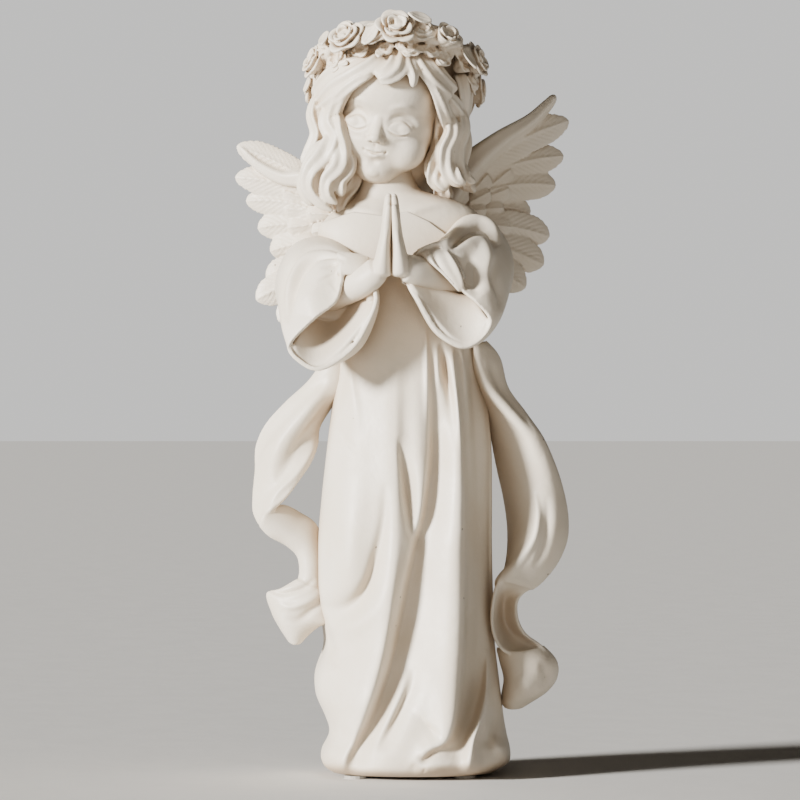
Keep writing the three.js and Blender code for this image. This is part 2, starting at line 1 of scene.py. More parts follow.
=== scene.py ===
"""A child angel at prayer, cast in ivory resin, with a long gown, wings, a wreath of roses and flying sashes.

Every piece is sculpted in millimetres about the figure's upright axis, X to the figure's left, -Y the way it
faces, and is then carried into the frame, whose scale and axis come from the frame's own parts.
"""

import math

import bmesh
import bpy
import numpy as np
from mathutils import Matrix, Vector


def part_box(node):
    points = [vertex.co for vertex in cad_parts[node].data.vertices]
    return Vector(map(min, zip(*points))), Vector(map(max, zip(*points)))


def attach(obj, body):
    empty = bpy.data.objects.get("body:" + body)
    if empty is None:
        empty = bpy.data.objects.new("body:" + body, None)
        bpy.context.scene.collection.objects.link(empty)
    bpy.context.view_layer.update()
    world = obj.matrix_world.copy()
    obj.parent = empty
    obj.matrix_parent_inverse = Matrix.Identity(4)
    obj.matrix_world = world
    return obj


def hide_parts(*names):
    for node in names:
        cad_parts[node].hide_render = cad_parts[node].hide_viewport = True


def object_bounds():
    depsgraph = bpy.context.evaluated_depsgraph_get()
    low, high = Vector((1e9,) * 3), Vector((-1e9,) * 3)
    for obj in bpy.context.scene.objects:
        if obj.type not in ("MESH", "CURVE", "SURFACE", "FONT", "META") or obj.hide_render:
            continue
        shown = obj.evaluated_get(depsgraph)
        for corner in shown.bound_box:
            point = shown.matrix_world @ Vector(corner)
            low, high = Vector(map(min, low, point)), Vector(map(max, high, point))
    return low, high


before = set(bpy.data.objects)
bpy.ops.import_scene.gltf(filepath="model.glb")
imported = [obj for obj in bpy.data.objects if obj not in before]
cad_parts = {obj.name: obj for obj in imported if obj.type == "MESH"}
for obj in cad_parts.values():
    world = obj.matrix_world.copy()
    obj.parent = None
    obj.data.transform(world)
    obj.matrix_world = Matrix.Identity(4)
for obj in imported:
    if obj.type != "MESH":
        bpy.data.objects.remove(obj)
cad_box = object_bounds()

SCULPTED_HEIGHT = 380.0  # the height that the sculpted measures below are for
UNIT = (cad_box[1].z - cad_box[0].z) / SCULPTED_HEIGHT
PLUG_LOW, PLUG_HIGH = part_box("base_plug")
AXIS = (PLUG_LOW + PLUG_HIGH) / 2
TO_FRAME = Matrix.Translation((AXIS.x, AXIS.y, 0)) @ Matrix.Diagonal((UNIT, UNIT, UNIT, 1))


# ---- Curves and brushes ----

FINE = 240  # rows in a finely drawn path
TINY = 1e-9  # keeps a length from being nothing


def smooth(points, count):
    """A smooth curve through rows of any width, as count rows."""
    rows = np.array(points, float)
    rows = np.vstack([2 * rows[0] - rows[1], rows, 2 * rows[-1] - rows[-2]])
    t = np.linspace(0, len(rows) - 3, count)
    i = np.minimum(t.astype(int), len(rows) - 4)
    f = (t - i)[:, None]
    a, b, c, d = rows[i], rows[i + 1], rows[i + 2], rows[i + 3]
    return 0.5 * (2 * b + (c - a) * f + (2 * a - 5 * b + 4 * c - d) * f**2 + (3 * b - a - 3 * c + d) * f**3)


def read_at(fine, t):
    """A finely drawn curve at shares t from 0 to 1: the row before, how far past it, and the row there."""
    place = np.clip(t, 0, 1) * (len(fine) - 1)
    i = np.minimum(place.astype(int), len(fine) - 2)
    f = (place - i)[:, None]
    return i, f, fine[i] * (1 - f) + fine[i + 1] * f


def across_path(fine, side):
    """For each row of a path, its direction and the part of side that lies across it, both of length 1."""
    ahead = np.gradient(fine[:, :3], axis=0)
    ahead /= np.maximum(np.linalg.norm(ahead, axis=1), TINY)[:, None]
    wide = side - (side * ahead).sum(1)[:, None] * ahead
    return ahead, wide / np.maximum(np.linalg.norm(wide, axis=1), TINY)[:, None]


def step(value, low, high):
    """A soft step from 0 below low to 1 above high."""
    t = np.clip((value - low) / (high - low), 0, 1)
    return t * t * (3 - 2 * t)


def stroke(seen, path, count=30):
    """How much a fold raises each point of a flat view.

    The path's rows hold its two coordinates, the fold's height there, and its width on either side: to the
    left and the right of a path that runs down, or below and above one that runs to the right.
    """
    line = smooth(path, count)
    reach = 2.6 * line[:, 3:5].max()
    near = np.all((seen > line[:, :2].min(0) - reach) & (seen < line[:, :2].max(0) + reach), axis=1)
    raised = np.zeros(len(seen))
    if not near.any():
        return raised
    start, along = line[:-1, :2], np.diff(line[:, :2], axis=0)
    offset = seen[near][:, None] - start[None]
    share = np.clip((offset * along).sum(2) / np.maximum((along**2).sum(1), TINY), 0, 1)
    gap = offset - share[..., None] * along
    far = np.hypot(gap[..., 0], gap[..., 1])
    best = far.argmin(1)
    pick = np.arange(len(best))
    part = share[pick, best][:, None]
    here = line[best] * (1 - part) + line[best + 1] * part
    side = along[best, 0] * gap[pick, best, 1] - along[best, 1] * gap[pick, best, 0]
    width = np.where(side > 0, here[:, 4], here[:, 3])
    raised[near] = here[:, 2] * np.exp(-((far[pick, best] / np.maximum(width, 0.1)) ** 2))
    return raised


# ---- Meshes ----


def corners(mesh):
    """Every corner of a mesh, as rows."""
    flat = np.empty(3 * len(mesh.vertices))
    mesh.vertices.foreach_get("co", flat)
    return flat.reshape(-1, 3)


def outward(mesh):
    """The outward direction at every corner of a mesh, as rows."""
    flat = np.empty(3 * len(mesh.vertices))
    mesh.vertex_normals.foreach_get("vector", flat)
    return flat.reshape(-1, 3)


def move(mesh, points):
    """Puts a mesh's corners at new points."""
    mesh.vertices.foreach_set("co", np.asarray(points, float).ravel())
    mesh.update()


def mesh_of(bm, name="draft"):
    """A bmesh as a mesh with its doubles merged and its faces turned outwards."""
    bmesh.ops.remove_doubles(bm, verts=bm.verts, dist=1e-4)
    bmesh.ops.dissolve_degenerate(bm, edges=bm.edges, dist=1e-5)
    bmesh.ops.recalc_face_normals(bm, faces=bm.faces)
    mesh = bpy.data.meshes.new(name)
    bm.to_mesh(mesh)
    bm.free()
    return mesh


def sheet(shape, across, along):
    """A bmesh grid moved to shape(u, v), with u and v running from 0 to 1."""
    bm = bmesh.new()
    bmesh.ops.create_grid(bm, x_segments=across, y_segments=along, size=0.5)
    flat = np.array([vert.co[:2] for vert in bm.verts]) + 0.5
    for vert, place in zip(bm.verts, shape(flat[:, 0], flat[:, 1])):
        vert.co = place
    return bm


def finished(mesh, steps):
    """A mesh with a row of modifiers applied, each a type and its settings."""
    holder = bpy.data.objects.new("holder", mesh)
    bpy.context.scene.collection.objects.link(holder)
    for kind, settings in steps:
        modifier = holder.modifiers.new(kind.lower(), kind)
        for key, value in settings.items():
            setattr(modifier, key, value)
    ready = bpy.data.meshes.new_from_object(holder.evaluated_get(bpy.context.evaluated_depsgraph_get()))
    bpy.data.objects.remove(holder)
    return ready


def fused(meshes, grain, rounds=4, factor=0.5):
    """Overlapping closed meshes melted into one skin, with the creases between them softened."""
    bm = bmesh.new()
    for mesh in meshes:
        bm.from_mesh(mesh)
    whole = bpy.data.meshes.new("whole")
    bm.to_mesh(whole)
    bm.free()
    melt = ("REMESH", {"mode": "VOXEL", "voxel_size": grain})
    soften = ("SMOOTH", {"factor": factor, "iterations": rounds})
    return finished(whole, [melt, soften])


def ball(centre, radii):
    """A round lump with its own radii along X, Y and Z."""
    bm = bmesh.new()
    bmesh.ops.create_icosphere(bm, subdivisions=4, radius=1)
    place = Matrix.Translation(centre) @ Matrix.Diagonal((*radii, 1))
    bmesh.ops.transform(bm, matrix=place, verts=bm.verts)
    return mesh_of(bm)


def tube(rows, side, around=20, along=40, cap=0.1, ripple=(0, 0.0, 0.0)):
    """A closed, round-ended tube through rows of place, width and thickness.

    Its width lies along side, which is one vector or a row of them. cap is the share of its length that each
    round end takes. ripple is a count of grooves, their depth as a share of the radius, and their turn.
    """
    fine = smooth(rows, FINE)
    sides = np.array(side, float).reshape(-1, 3)
    if len(sides) > 1:
        _, _, sides = read_at(smooth(sides, 12 * len(sides)), np.linspace(0, 1, FINE))
    ahead, wide = across_path(fine, sides)
    thick = np.cross(ahead, wide)
    count, depth, turn = ripple

    def shape(u, v):
        angle = 2 * math.pi * u
        i, f, here = read_at(fine, v)
        end = np.clip(np.minimum(v, 1 - v) / cap, 0, 1)
        radius = np.sqrt(np.maximum(1 - (1 - end) ** 2, 0)) * (1 + depth * np.cos(count * angle + turn * v))
        a = (radius * np.cos(angle) * here[:, 3])[:, None] * (wide[i] * (1 - f) + wide[i + 1] * f)
        b = (radius * np.sin(angle) * here[:, 4])[:, None] * (thick[i] * (1 - f) + thick[i + 1] * f)
        return here[:, :3] + a + b

    return mesh_of(sheet(shape, around, along))


def ribbon(rows, thickness, across=26, along=110, taper=0.05):
    """A soft-edged band through rows of three places: its one edge, its middle and its other edge."""
    fine = smooth(rows, FINE)

    def shape(u, v):
        i, _, here = read_at(fine, v)
        left, middle, right = here[:, :3], here[:, 3:6], here[:, 6:9]
        ahead = (fine[i + 1] - fine[i])[:, 3:6]
        angle = 2 * math.pi * u
        s = ((1 - np.cos(angle)) / 2)[:, None]
        point = 2 * (s - 0.5) * (s - 1) * left + 4 * s * (1 - s) * middle + 2 * s * (s - 0.5) * right
        over = (4 * s - 3) * left + (4 - 8 * s) * middle + (4 * s - 1) * right
        normal = np.cross(over, ahead)
        normal /= np.maximum(np.linalg.norm(normal, axis=1), TINY)[:, None]
        end = np.sqrt(np.maximum(1 - (1 - np.clip(np.minimum(v, 1 - v) / taper, 0, 1)) ** 2, 0))
        body = np.sign(np.sin(angle)) * np.abs(np.sin(angle)) ** 0.5 * end
        return point + normal * (body * thickness / 2)[:, None]

    return mesh_of(sheet(shape, 4 * across, along))


def skin(rings, around, along, thickness):
    """A thin skin through closed rings of matching points, thickened inwards."""
    between = 24  # steps from one of a ring's points to the next
    loops = []
    for ring in rings:
        ring = np.array(ring, float)
        closed = smooth(np.vstack([ring[-2:], ring, ring[:3]]), (len(ring) + 4) * between + 1)
        loops.append(closed[2 * between : (len(ring) + 2) * between + 1])
    loops = np.array(loops)
    steps = smooth(loops.reshape(len(loops), -1), along + 1).reshape(along + 1, -1, 3)

    def shape(u, v):
        row = np.rint(v * along).astype(int)
        place = u * (steps.shape[1] - 1)
        i = np.minimum(place.astype(int), steps.shape[1] - 2)
        f = (place - i)[:, None]
        return steps[row, i] * (1 - f) + steps[row, i + 1] * f

    mesh = mesh_of(sheet(shape, around, along))
    solid = {"thickness": thickness, "offset": -1, "use_even_offset": True}
    return finished(mesh, [("SOLIDIFY", solid)])


def pressed(mesh, folds, facing):
    """A mesh with folds, drawn as seen from its front, raised where it faces forward between two limits."""
    points, normals = corners(mesh), outward(mesh)
    raised = sum(stroke(points[:, [0, 2]], fold) for fold in folds) * step(-normals[:, 1], *facing)
    move(mesh, points + normals * raised[:, None])
    return mesh


MOST_TRIANGLES = 140000  # in one piece


def piece(name, mesh, material, slot, *nodes):
    """A finished piece in the frame, standing for its nodes, and thinned out if its mesh is too fine."""
    triangles = sum(len(face.vertices) - 2 for face in mesh.polygons)
    if triangles > MOST_TRIANGLES:
        mesh = finished(mesh, [("DECIMATE", {"ratio": MOST_TRIANGLES / triangles})])
    mesh.transform(TO_FRAME)
    mesh.polygons.foreach_set("use_smooth", [True] * len(mesh.polygons))
    mesh.materials.clear()
    mesh.materials.append(material)
    obj = bpy.data.objects.new(name, mesh)
    bpy.context.scene.collection.objects.link(obj)
    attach(obj, "root")
    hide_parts(*nodes)
    return obj


# ---- Materials ----


def named_group(name, outputs):
    """A node group that reads the object's own coordinates, with colour or number outputs."""
    group = bpy.data.node_groups.new(name, "ShaderNodeTree")
    for label, kind in outputs:
        group.interface.new_socket(label, in_out="OUTPUT", socket_type=kind)
    return group, group.nodes.new("NodeGroupOutput"), group.nodes.new("ShaderNodeTexCoord").outputs["Object"]


def noise(tree, where, scale, detail=3.0, rough=0.55):
    """Soft random patches, from 0 to 1."""
    node = tree.nodes.new("ShaderNodeTexNoise")
    node.inputs["Scale"].default_value = scale
    node.inputs["Detail"].default_value = detail
    node.inputs["Roughness"].default_value = rough
    tree.links.new(where, node.inputs["Vector"])
    return node.outputs["Fac"]


def spread(tree, value, low, high, to_low=0.0, to_high=1.0):
    """A value carried from one range to another, held at its ends."""
    node = tree.nodes.new("ShaderNodeMapRange")
    node.interpolation_type = "SMOOTHSTEP"
    tree.links.new(value, node.inputs["Value"])
    for key, number in (("From Min", low), ("From Max", high), ("To Min", to_low), ("To Max", to_high)):
        node.inputs[key].default_value = number
    return node.outputs["Result"]


def math_node(tree, operation, a, b):
    """A sum on two values, each a socket or a number."""
    node = tree.nodes.new("ShaderNodeMath")
    node.operation = operation
    for socket, value in zip(node.inputs, (a, b)):
        if isinstance(value, (int, float)):
            socket.default_value = value
        else:
            tree.links.new(value, socket)
    return node.outputs["Value"]


def mixed(tree, amount, first, second):
    """A colour part of the way from the first to the second, each a socket or a colour."""
    node = tree.nodes.new("ShaderNodeMix")
    node.data_type = "RGBA"
    tree.links.new(amount, node.inputs["Factor"])
    for socket, value in ((node.inputs["A"], first), (node.inputs["B"], second)):
        if isinstance(value, tuple):
            socket.default_value = (*value, 1)
        else:
            tree.links.new(value, socket)
    return node.outputs["Result"]


def bumped(tree, height, strength, distance, under=None):
    """Normals roughened by a height, on top of other normals if given."""
    node = tree.nodes.new("ShaderNodeBump")
    node.inputs["Strength"].default_value = strength
    node.inputs["Distance"].default_value = distance
    tree.links.new(height, node.inputs["Height"])
    if under is not None:
        tree.links.new(under, node.inputs["Normal"])
    return node.outputs["Normal"]


def cast_surface():
    """Masks of a hand-finished casting: painted shade in its recesses and creases, its edges, its cast
    patches and its pinholes.
    """
    sockets = [("Painted_Shade", "NodeSocketFloat"), ("Edge", "NodeSocketFloat"), ("Patch", "NodeSocketFloat"),
               ("Pinhole", "NodeSocketFloat"), ("Normal", "NodeSocketVector")]
    group, out, where = named_group("cast_surface", sockets)
    # Painted shade: ambient occlusion and the mesh's inner creases give the mask where the colour is darkened
    # as shade.
    near = group.nodes.new("ShaderNodeAmbientOcclusion")
    near.samples = 6
    near.inputs["Distance"].default_value = 0.03
    occlusion_shade = spread(group, near.outputs["AO"], 0.88, 0.15)
    form = group.nodes.new("ShaderNodeNewGeometry").outputs["Pointiness"]
    crease_shade = math_node(group, "MULTIPLY", spread(group, form, 0.495, 0.44), 0.55)
    group.links.new(math_node(group, "MAXIMUM", occlusion_shade, crease_shade), out.inputs["Painted_Shade"])
    group.links.new(spread(group, form, 0.515, 0.57), out.inputs["Edge"])
    group.links.new(noise(group, where, 38, 4), out.inputs["Patch"])
    cells = group.nodes.new("ShaderNodeTexVoronoi")
    cells.inputs["Scale"].default_value = 95
    group.links.new(where, cells.inputs["Vector"])
    parted = group.nodes.new("ShaderNodeSeparateColor")
    group.links.new(cells.outputs["Color"], parted.inputs["Color"])
    chosen = math_node(group, "GREATER_THAN", parted.outputs["Red"], 0.72)
    hole = math_node(group, "MULTIPLY", spread(group, cells.outputs["Distance"], 0.06, 0.035), chosen)
    group.links.new(hole, out.inputs["Pinhole"])
    sanded = bumped(group, noise(group, where, 210, 3), 0.22, 0.0009)
    grain = bumped(group, noise(group, where, 1500, 2, 0.7), 0.16, 0.00022, sanded)
    pitted = bumped(group, math_node(group, "SUBTRACT", 1.0, hole), 0.6, 0.0006, grain)
    group.links.new(pitted, out.inputs["Normal"])
    return group


def resin_material():
    """Ivory casting resin: matte, with painted warm-brown shade in its recesses, paler on its worn edges,
    with fine pinholes holding painted dark shade.
    """
    material = bpy.data.materials.new("ivory_resin")
    material.use_nodes = True
    tree = material.node_tree
    shader = tree.nodes["Principled BSDF"]
    surface = tree.nodes.new("ShaderNodeGroup")
    surface.node_tree = cast_surface()
    patch = spread(tree, surface.outputs["Patch"], 0.35, 0.68)
    # Painted shade: recesses and creases are darkened towards warm brown, standing in for the shade that
    # falls there.
    painted_shade = math_node(tree, "MULTIPLY", surface.outputs["Painted_Shade"], 0.72)
    wear = math_node(tree, "MULTIPLY", surface.outputs["Edge"], 0.35)
    hole = math_node(tree, "MULTIPLY", surface.outputs["Pinhole"], 0.75)
    cast = mixed(tree, patch, (0.77, 0.685, 0.56), (0.82, 0.745, 0.63))
    shaded_cast = mixed(tree, painted_shade, cast, (0.36, 0.245, 0.14))
    rubbed = mixed(tree, wear, shaded_cast, (0.87, 0.83, 0.76))
    # Painted shade: the pinholes are darkened to near-black brown, standing in for the shade inside them.
    pitted = mixed(tree, hole, rubbed, (0.16, 0.11, 0.07))
    tree.links.new(pitted, shader.inputs["Base Color"])
    tree.links.new(spread(tree, surface.outputs["Patch"], 0.3, 0.7, 0.5, 0.4), shader.inputs["Roughness"])
    tree.links.new(surface.outputs["Normal"], shader.inputs["Normal"])
    shader.inputs["Specular IOR Level"].default_value = 0.42
    return material


def fitting_material(name, light, dark, roughness, metallic, scale, stretch=(1, 1, 1)):
    """A plain fitting's surface: two close tones, a fine texture and uneven gloss."""
    material = bpy.data.materials.new(name)
    material.use_nodes = True
    tree = material.node_tree
    shader = tree.nodes["Principled BSDF"]
    place = tree.nodes.new("ShaderNodeMapping")
    place.inputs["Scale"].default_value = stretch
    tree.links.new(tree.nodes.new("ShaderNodeTexCoord").outputs["Object"], place.inputs["Vector"])
    tone = spread(tree, noise(tree, place.outputs["Vector"], scale, 4), 0.35, 0.65)
    tree.links.new(mixed(tree, tone, dark, light), shader.inputs["Base Color"])
    tree.links.new(spread(tree, tone, 0, 1, roughness + 0.08, roughness - 0.05), shader.inputs["Roughness"])
    tree.links.new(bumped(tree, tone, 0.25, 0.0002), shader.inputs["Normal"])
    shader.inputs["Metallic"].default_value = metallic
    return material


RESIN = resin_material()
RUBBER = fitting_material("foot_rubber", (0.42, 0.40, 0.36), (0.33, 0.31, 0.28), 0.7, 0.0, 900)
STOPPER = fitting_material("stopper_plastic", (0.74, 0.71, 0.64), (0.66, 0.62, 0.55), 0.5, 0.0, 600)
STEEL = fitting_material("pin_steel", (0.62, 0.61, 0.6), (0.48, 0.475, 0.47), 0.34, 1.0, 700, (1, 1, 0.06))
FLOOR = fitting_material("pale_floor", (0.74, 0.73, 0.71), (0.725, 0.715, 0.695), 0.8, 0.0, 30)

# ---- Gown ----

# Height, then reach to the figure's right and left, front and back.
GOWN_ROWS = [
    (3, -36.5, 49.5, -43, 37),
    (7, -38.8, 54.5, -45.5, 38.5),
    (13, -38.2, 55, -46, 39),
    (21, -35, 53.2, -45, 38.5),
    (29, -36.8, 51.8, -43.5, 38),
    (40, -41.5, 50.5, -42, 38),
    (51, -42.2, 49.2, -40.5, 38),
    (64, -37, 47.6, -39, 37),
    (75, -37.8, 47, -38, 36.5),
    (88, -40.8, 46.6, -37.5, 36),
    (114, -41, 46, -36.5, 35),
    (140, -39, 46, -34, 33),
    (167, -36, 45.5, -31, 31),
    (200, -32, 42, -27, 28),
    (228, -29, 37, -24, 25),
    (246, -33, 37, -22, 23),
    (262, -39, 41, -19.5, 21),
    (272, -41, 43, -17.5, 20),
    (279, -37, 41, -15.5, 18),
    (284, -31, 34, -13.5, 16),
    (288, -25, 24, -10, 15),
]
SQUARE = 0.88  # how square the rows are: 1 is an ellipse


def torso(z, angle, inside=0.0):
    """Points of the body's skin at heights and angles, which run from its left to its back."""
    rows = np.array(GOWN_ROWS)
    fine = smooth(rows, 400)
    right, left, front, back = (np.interp(z, fine[:, 0], fine[:, k]) for k in range(1, 5))
    c, s = np.cos(angle), np.sin(angle)
    x = (left + right) / 2 + ((left - right) / 2 - inside) * np.sign(c) * np.abs(c) ** SQUARE
    y = (front + back) / 2 + ((back - front) / 2 - inside) * np.sign(s) * np.abs(s) ** SQUARE
    return np.stack([x, y, z], 1)


# The neckline, from the figure's right to its left, seen from the front and from the back.
NECKLINE_FRONT = [(-60, 272), (-36, 276), (-24, 281), (-9, 279), (4, 281), (14, 276), (24, 268), (60, 264)]
NECKLINE_BACK = [(-60, 272), (-30, 268), (0, 264), (30, 266), (60, 264)]

# Folds of the skirt seen from the front: place, height, width to the left and to the right.
FRONT_FOLDS = [
    # the broad front edge of the left thigh and its cliff
    [(25, 214, 0, 2, 2), (26.5, 204, 3, 2.6, 1.8), (28.5, 186, 5, 4, 1.6), (30.2, 165, 7, 7, 1.5),
     (31.6, 140, 8.5, 10, 1.4), (31.6, 110, 9.2, 12, 1.4), (31.2, 80, 9.5, 13, 1.4), (30, 56, 9.5, 13, 1.5),
     (27.6, 37, 9, 12, 1.6), (25, 25.5, 8, 10, 1.8), (21.5, 19.5, 6, 7, 2), (14.5, 16, 4, 5, 2),
     (8.5, 10.5, 1.5, 4, 2.4)],
    # the plane behind the cliff
    [(34.5, 210, -1.5, 2, 6), (36.5, 188, -6, 3.4, 9), (38.5, 155, -9, 5, 10), (39.5, 115, -10.5, 6, 10),
     (39.3, 78, -10.5, 6, 10), (37, 48, -9.5, 6, 9), (33.5, 28, -6, 5, 7), (27, 16, -1.5, 5, 4)],
    # the deep valley that runs down between the legs
    [(14.5, 216, 0, 2, 2), (15.6, 195, -1.6, 2, 4), (16.2, 178, -3.4, 1.8, 6), (16.2, 161, -4.8, 1.7, 7.5),
     (14.3, 141, -5.8, 1.7, 9), (12, 128, -6.6, 1.8, 10), (8.5, 115, -7.2, 2.2, 10),
     (5.6, 102, -7.4, 2, 12),
     (2.7, 87.5, -7.6, 1.9, 13), (-0.1, 73, -7.6, 1.9, 13), (-3, 59, -7.4, 1.9, 13),
     (-7.3, 45.5, -7, 2, 12),
     (-14.5, 27, -5.5, 2.2, 10), (-21.7, 12.5, -3.5, 2.6, 8), (-25, 4, -1, 3, 6)],
    # the ridge left of that valley
    [(-3, 216, 0, 5, 5), (-2.3, 195, 1.4, 8, 4), (-2.2, 160, 2.4, 9, 3.4), (-2.2, 138, 3, 9, 3.6),
     (-2, 120, 3.6, 9, 5),
     (-3, 105, 4.4, 8, 4.4), (-4.8, 88, 5, 8, 3.4), (-7.4, 72, 5.2, 9, 3.2), (-10.4, 58, 5.2, 10, 3.2),
     (-14.4, 44, 5, 10, 3.2), (-21, 27, 4.5, 10, 3.2), (-27.5, 12, 3, 9, 3.2), (-29, 4, 1, 8, 3)],
    # the small valley that meets it in a V, and the tongue between them
    [(-0.6, 170, 0, 1.5, 2), (0.6, 160, -1.8, 1.4, 3), (1.9, 150, -3.2, 1.4, 4), (3.1, 140, -3.8, 1.5, 4.4),
     (4.6, 130, -3.4, 1.7, 4), (6.2, 120.5, -2, 2, 3.4), (8, 112, 0, 2, 3)],
    [(8, 204, 0, 5, 4), (9, 176, 1.5, 5, 4), (10, 152, 1.8, 3.6, 3.4), (9.6, 136, 1.4, 3, 3),
     (8.4, 118, 0, 3, 3)],
    # gathers under the hanging lobe of the left sleeve
    [(12.6, 224, 0, 1.4, 1.1), (13.3, 208, 2.0, 1.5, 1.2), (13.8, 190, 1.6, 1.8, 1.5), (14, 174, 0, 2, 2)],
    [(20.5, 216, 0, 1.5, 1.2), (22.4, 204, -3.2, 2.2, 1.3), (24.8, 190, -3.2, 2.4, 1.5),
     (26.6, 174, -1.4, 2.6, 2), (28, 160, 0, 2, 2)],
    [(30.5, 212, 0, 1.2, 1.2), (32.4, 198, 2.4, 1.4, 1.4), (34.2, 180, 2, 1.6, 1.5),
     (35.5, 158, 0.8, 1.8, 1.8), (36, 142, 0, 2, 2)],
    [(18, 216, 0, 1.2, 1.2), (18.6, 205, 1.2, 1.2, 1.2), (19.2, 190, 0, 1.4, 1.4)],
    # the knee and the hollow under it
    [(-23, 164, 0, 12, 11), (-24.5, 135, 2.2, 12, 10), (-26, 112, 3.8, 11, 9.5), (-27, 98, 3, 10, 9),
     (-28, 89, 0, 8, 7)],
    [(-6.8, 148, 0, 2, 3), (-8, 128, -1.8, 2.4, 3), (-11, 112, -3.4, 2.8, 3.6), (-14.6, 99, -4.6, 2.8, 4),
     (-20, 89.5, -5, 3.2, 5), (-28, 84, -4.4, 3.8, 6), (-39, 83, -2.6, 4.4, 7)],
    [(-6, 100, 0, 4, 5), (-12, 88, 1.2, 4, 5), (-20, 78, 2, 4, 6), (-30, 74, 1.8, 4, 6),
     (-38, 74, 0.8, 4, 5)],
    # the pocket and the flare at the lower right of the figure
    [(-37.5, 77, -2, 1.4, 2), (-35.6, 70, -4, 1.6, 2), (-33.6, 62, -2.6, 1.6, 2.2), (-32, 54, 0, 2, 3)],
    [(-28, 68, 0, 3, 3), (-34, 58, 1.8, 3, 4), (-39.5, 49, 2.6, 3.5, 5), (-41, 38, 1.5, 4, 5),
     (-38, 30, 0, 4, 5)],
    [(-36, 26, -2.4, 5, 4), (-29, 21, -1.8, 5, 5), (-22, 20, 0, 5, 5)],
    [(-37, 14, 1.5, 4, 4), (-30, 9, 1.5, 4, 4), (-22, 6, 0, 4, 4)],
    # the soft inner fold of the front plane
    [(8, 58, 0, 3, 4), (5.2, 46, -1.8, 2.2, 4), (0.6, 35, -2.6, 2.2, 4), (-5, 24, -2, 2.2, 4),
     (-10, 15, 0, 3, 4)],
    [(3.4, 54, 0, 2, 2.6), (0.4, 43, 1.8, 2.4, 1.8), (-5.6, 30, 2, 2.6, 1.8), (-12, 18, 1.2, 3, 2.6),
     (-16, 9, 0, 3, 3)],
    # the narrow fold and the foot bump at the lower left of the figure
    [(44, 64, 0, 1.4, 1.6), (43.4, 52, 4, 1.8, 1.6), (42.6, 41, 7, 2.2, 1.6), (39.8, 30, 8.5, 2.8, 1.8),
     (36, 20, 9, 3.4, 2.2), (35, 10, 7, 4, 4), (37, 3, 3, 5, 5)],
    [(47.4, 58, 0, 2, 3), (47.2, 42, -3, 2.2, 4), (46.4, 29, -4.4, 2.6, 4), (43.6, 19, -3, 2.6, 3.4)],
    [(45, 21, 0, 2, 2), (48.6, 16.6, 3.4, 2.8, 3), (52, 12, 3.2, 3, 4), (53, 7, 1, 3, 4)],
    # the hem's pad under the cliff, and the hem's roll
    [(7, 6, 0, 3, 3), (13, 7.5, 3.4, 5, 4), (22, 9, 4, 5, 4.4), (31, 8, 3, 5, 5)],
    [(9.2, 13, 0, 1.5, 1.5), (11.6, 10.8, -2.4, 1.6, 1.6), (16, 14.4, -2, 1.5, 1.6),
     (22, 17.6, 0, 1.5, 1.6)],
    [(-36, 5, 1, 3, 4), (-10, 4, 1.4, 3, 4), (8, 3.5, 1, 3, 3)],
    # a casting pinhole
    [(11, 5.6, 0, 0.6, 0.6), (11.8, 5.6, -1.6, 0.6, 0.6), (12.6, 5.6, 0, 0.6, 0.6)],
    # faint creases high on the right
    [(-33, 174, 0, 1.1, 1.1), (-27, 167.5, -0.9, 1.1, 1.3), (-20.5, 160, 0, 1.4, 1.4)],
    [(-26, 208, 0, 2, 2), (-25, 198, 1.8, 2.2, 2.6), (-22.6, 182, 1.0, 3, 3), (-21, 168, 0, 3, 3)],
    [(-31, 204, 0, 1.6, 2), (-29.4, 192, -1.6, 1.6, 2), (-30, 178, 0, 2, 2)],
]
# Folds of the back, from the waist down: place at the waist and at the hem, height.
BACK_FOLDS = [(-27, -36, 3.4), (-18, -23, 4.2), (-9, -10, 4.6), (1, 4, 5.0), (10, 17, 4.4), (19, 31, 4.6),
              (29, 45, 3.6)]


def back_folds(seen):
    raised = np.zeros(len(seen))
    for i, (waist, hem, height) in enumerate(BACK_FOLDS):
        sway = 2.5 * math.sin(2.1 * i + 0.6)
        middle = (waist + hem) / 2 + sway
        ridge = [(waist, 236 - 5 * (i % 3), 0, 3, 3), (waist + 0.4 * sway, 200, height * 0.5, 3, 3.4),
                 (middle, 120, height, 4, 5), (hem - sway, 50, height * 1.1, 5, 5.5),
                 (hem, 3, height * 0.8, 6, 6)]
        valley = [(x + 5.2, z, -0.55 * high, 2.6, 3) for x, z, high, _, _ in ridge]
        raised += stroke(seen, ridge) + stroke(seen, valley)
    return raised


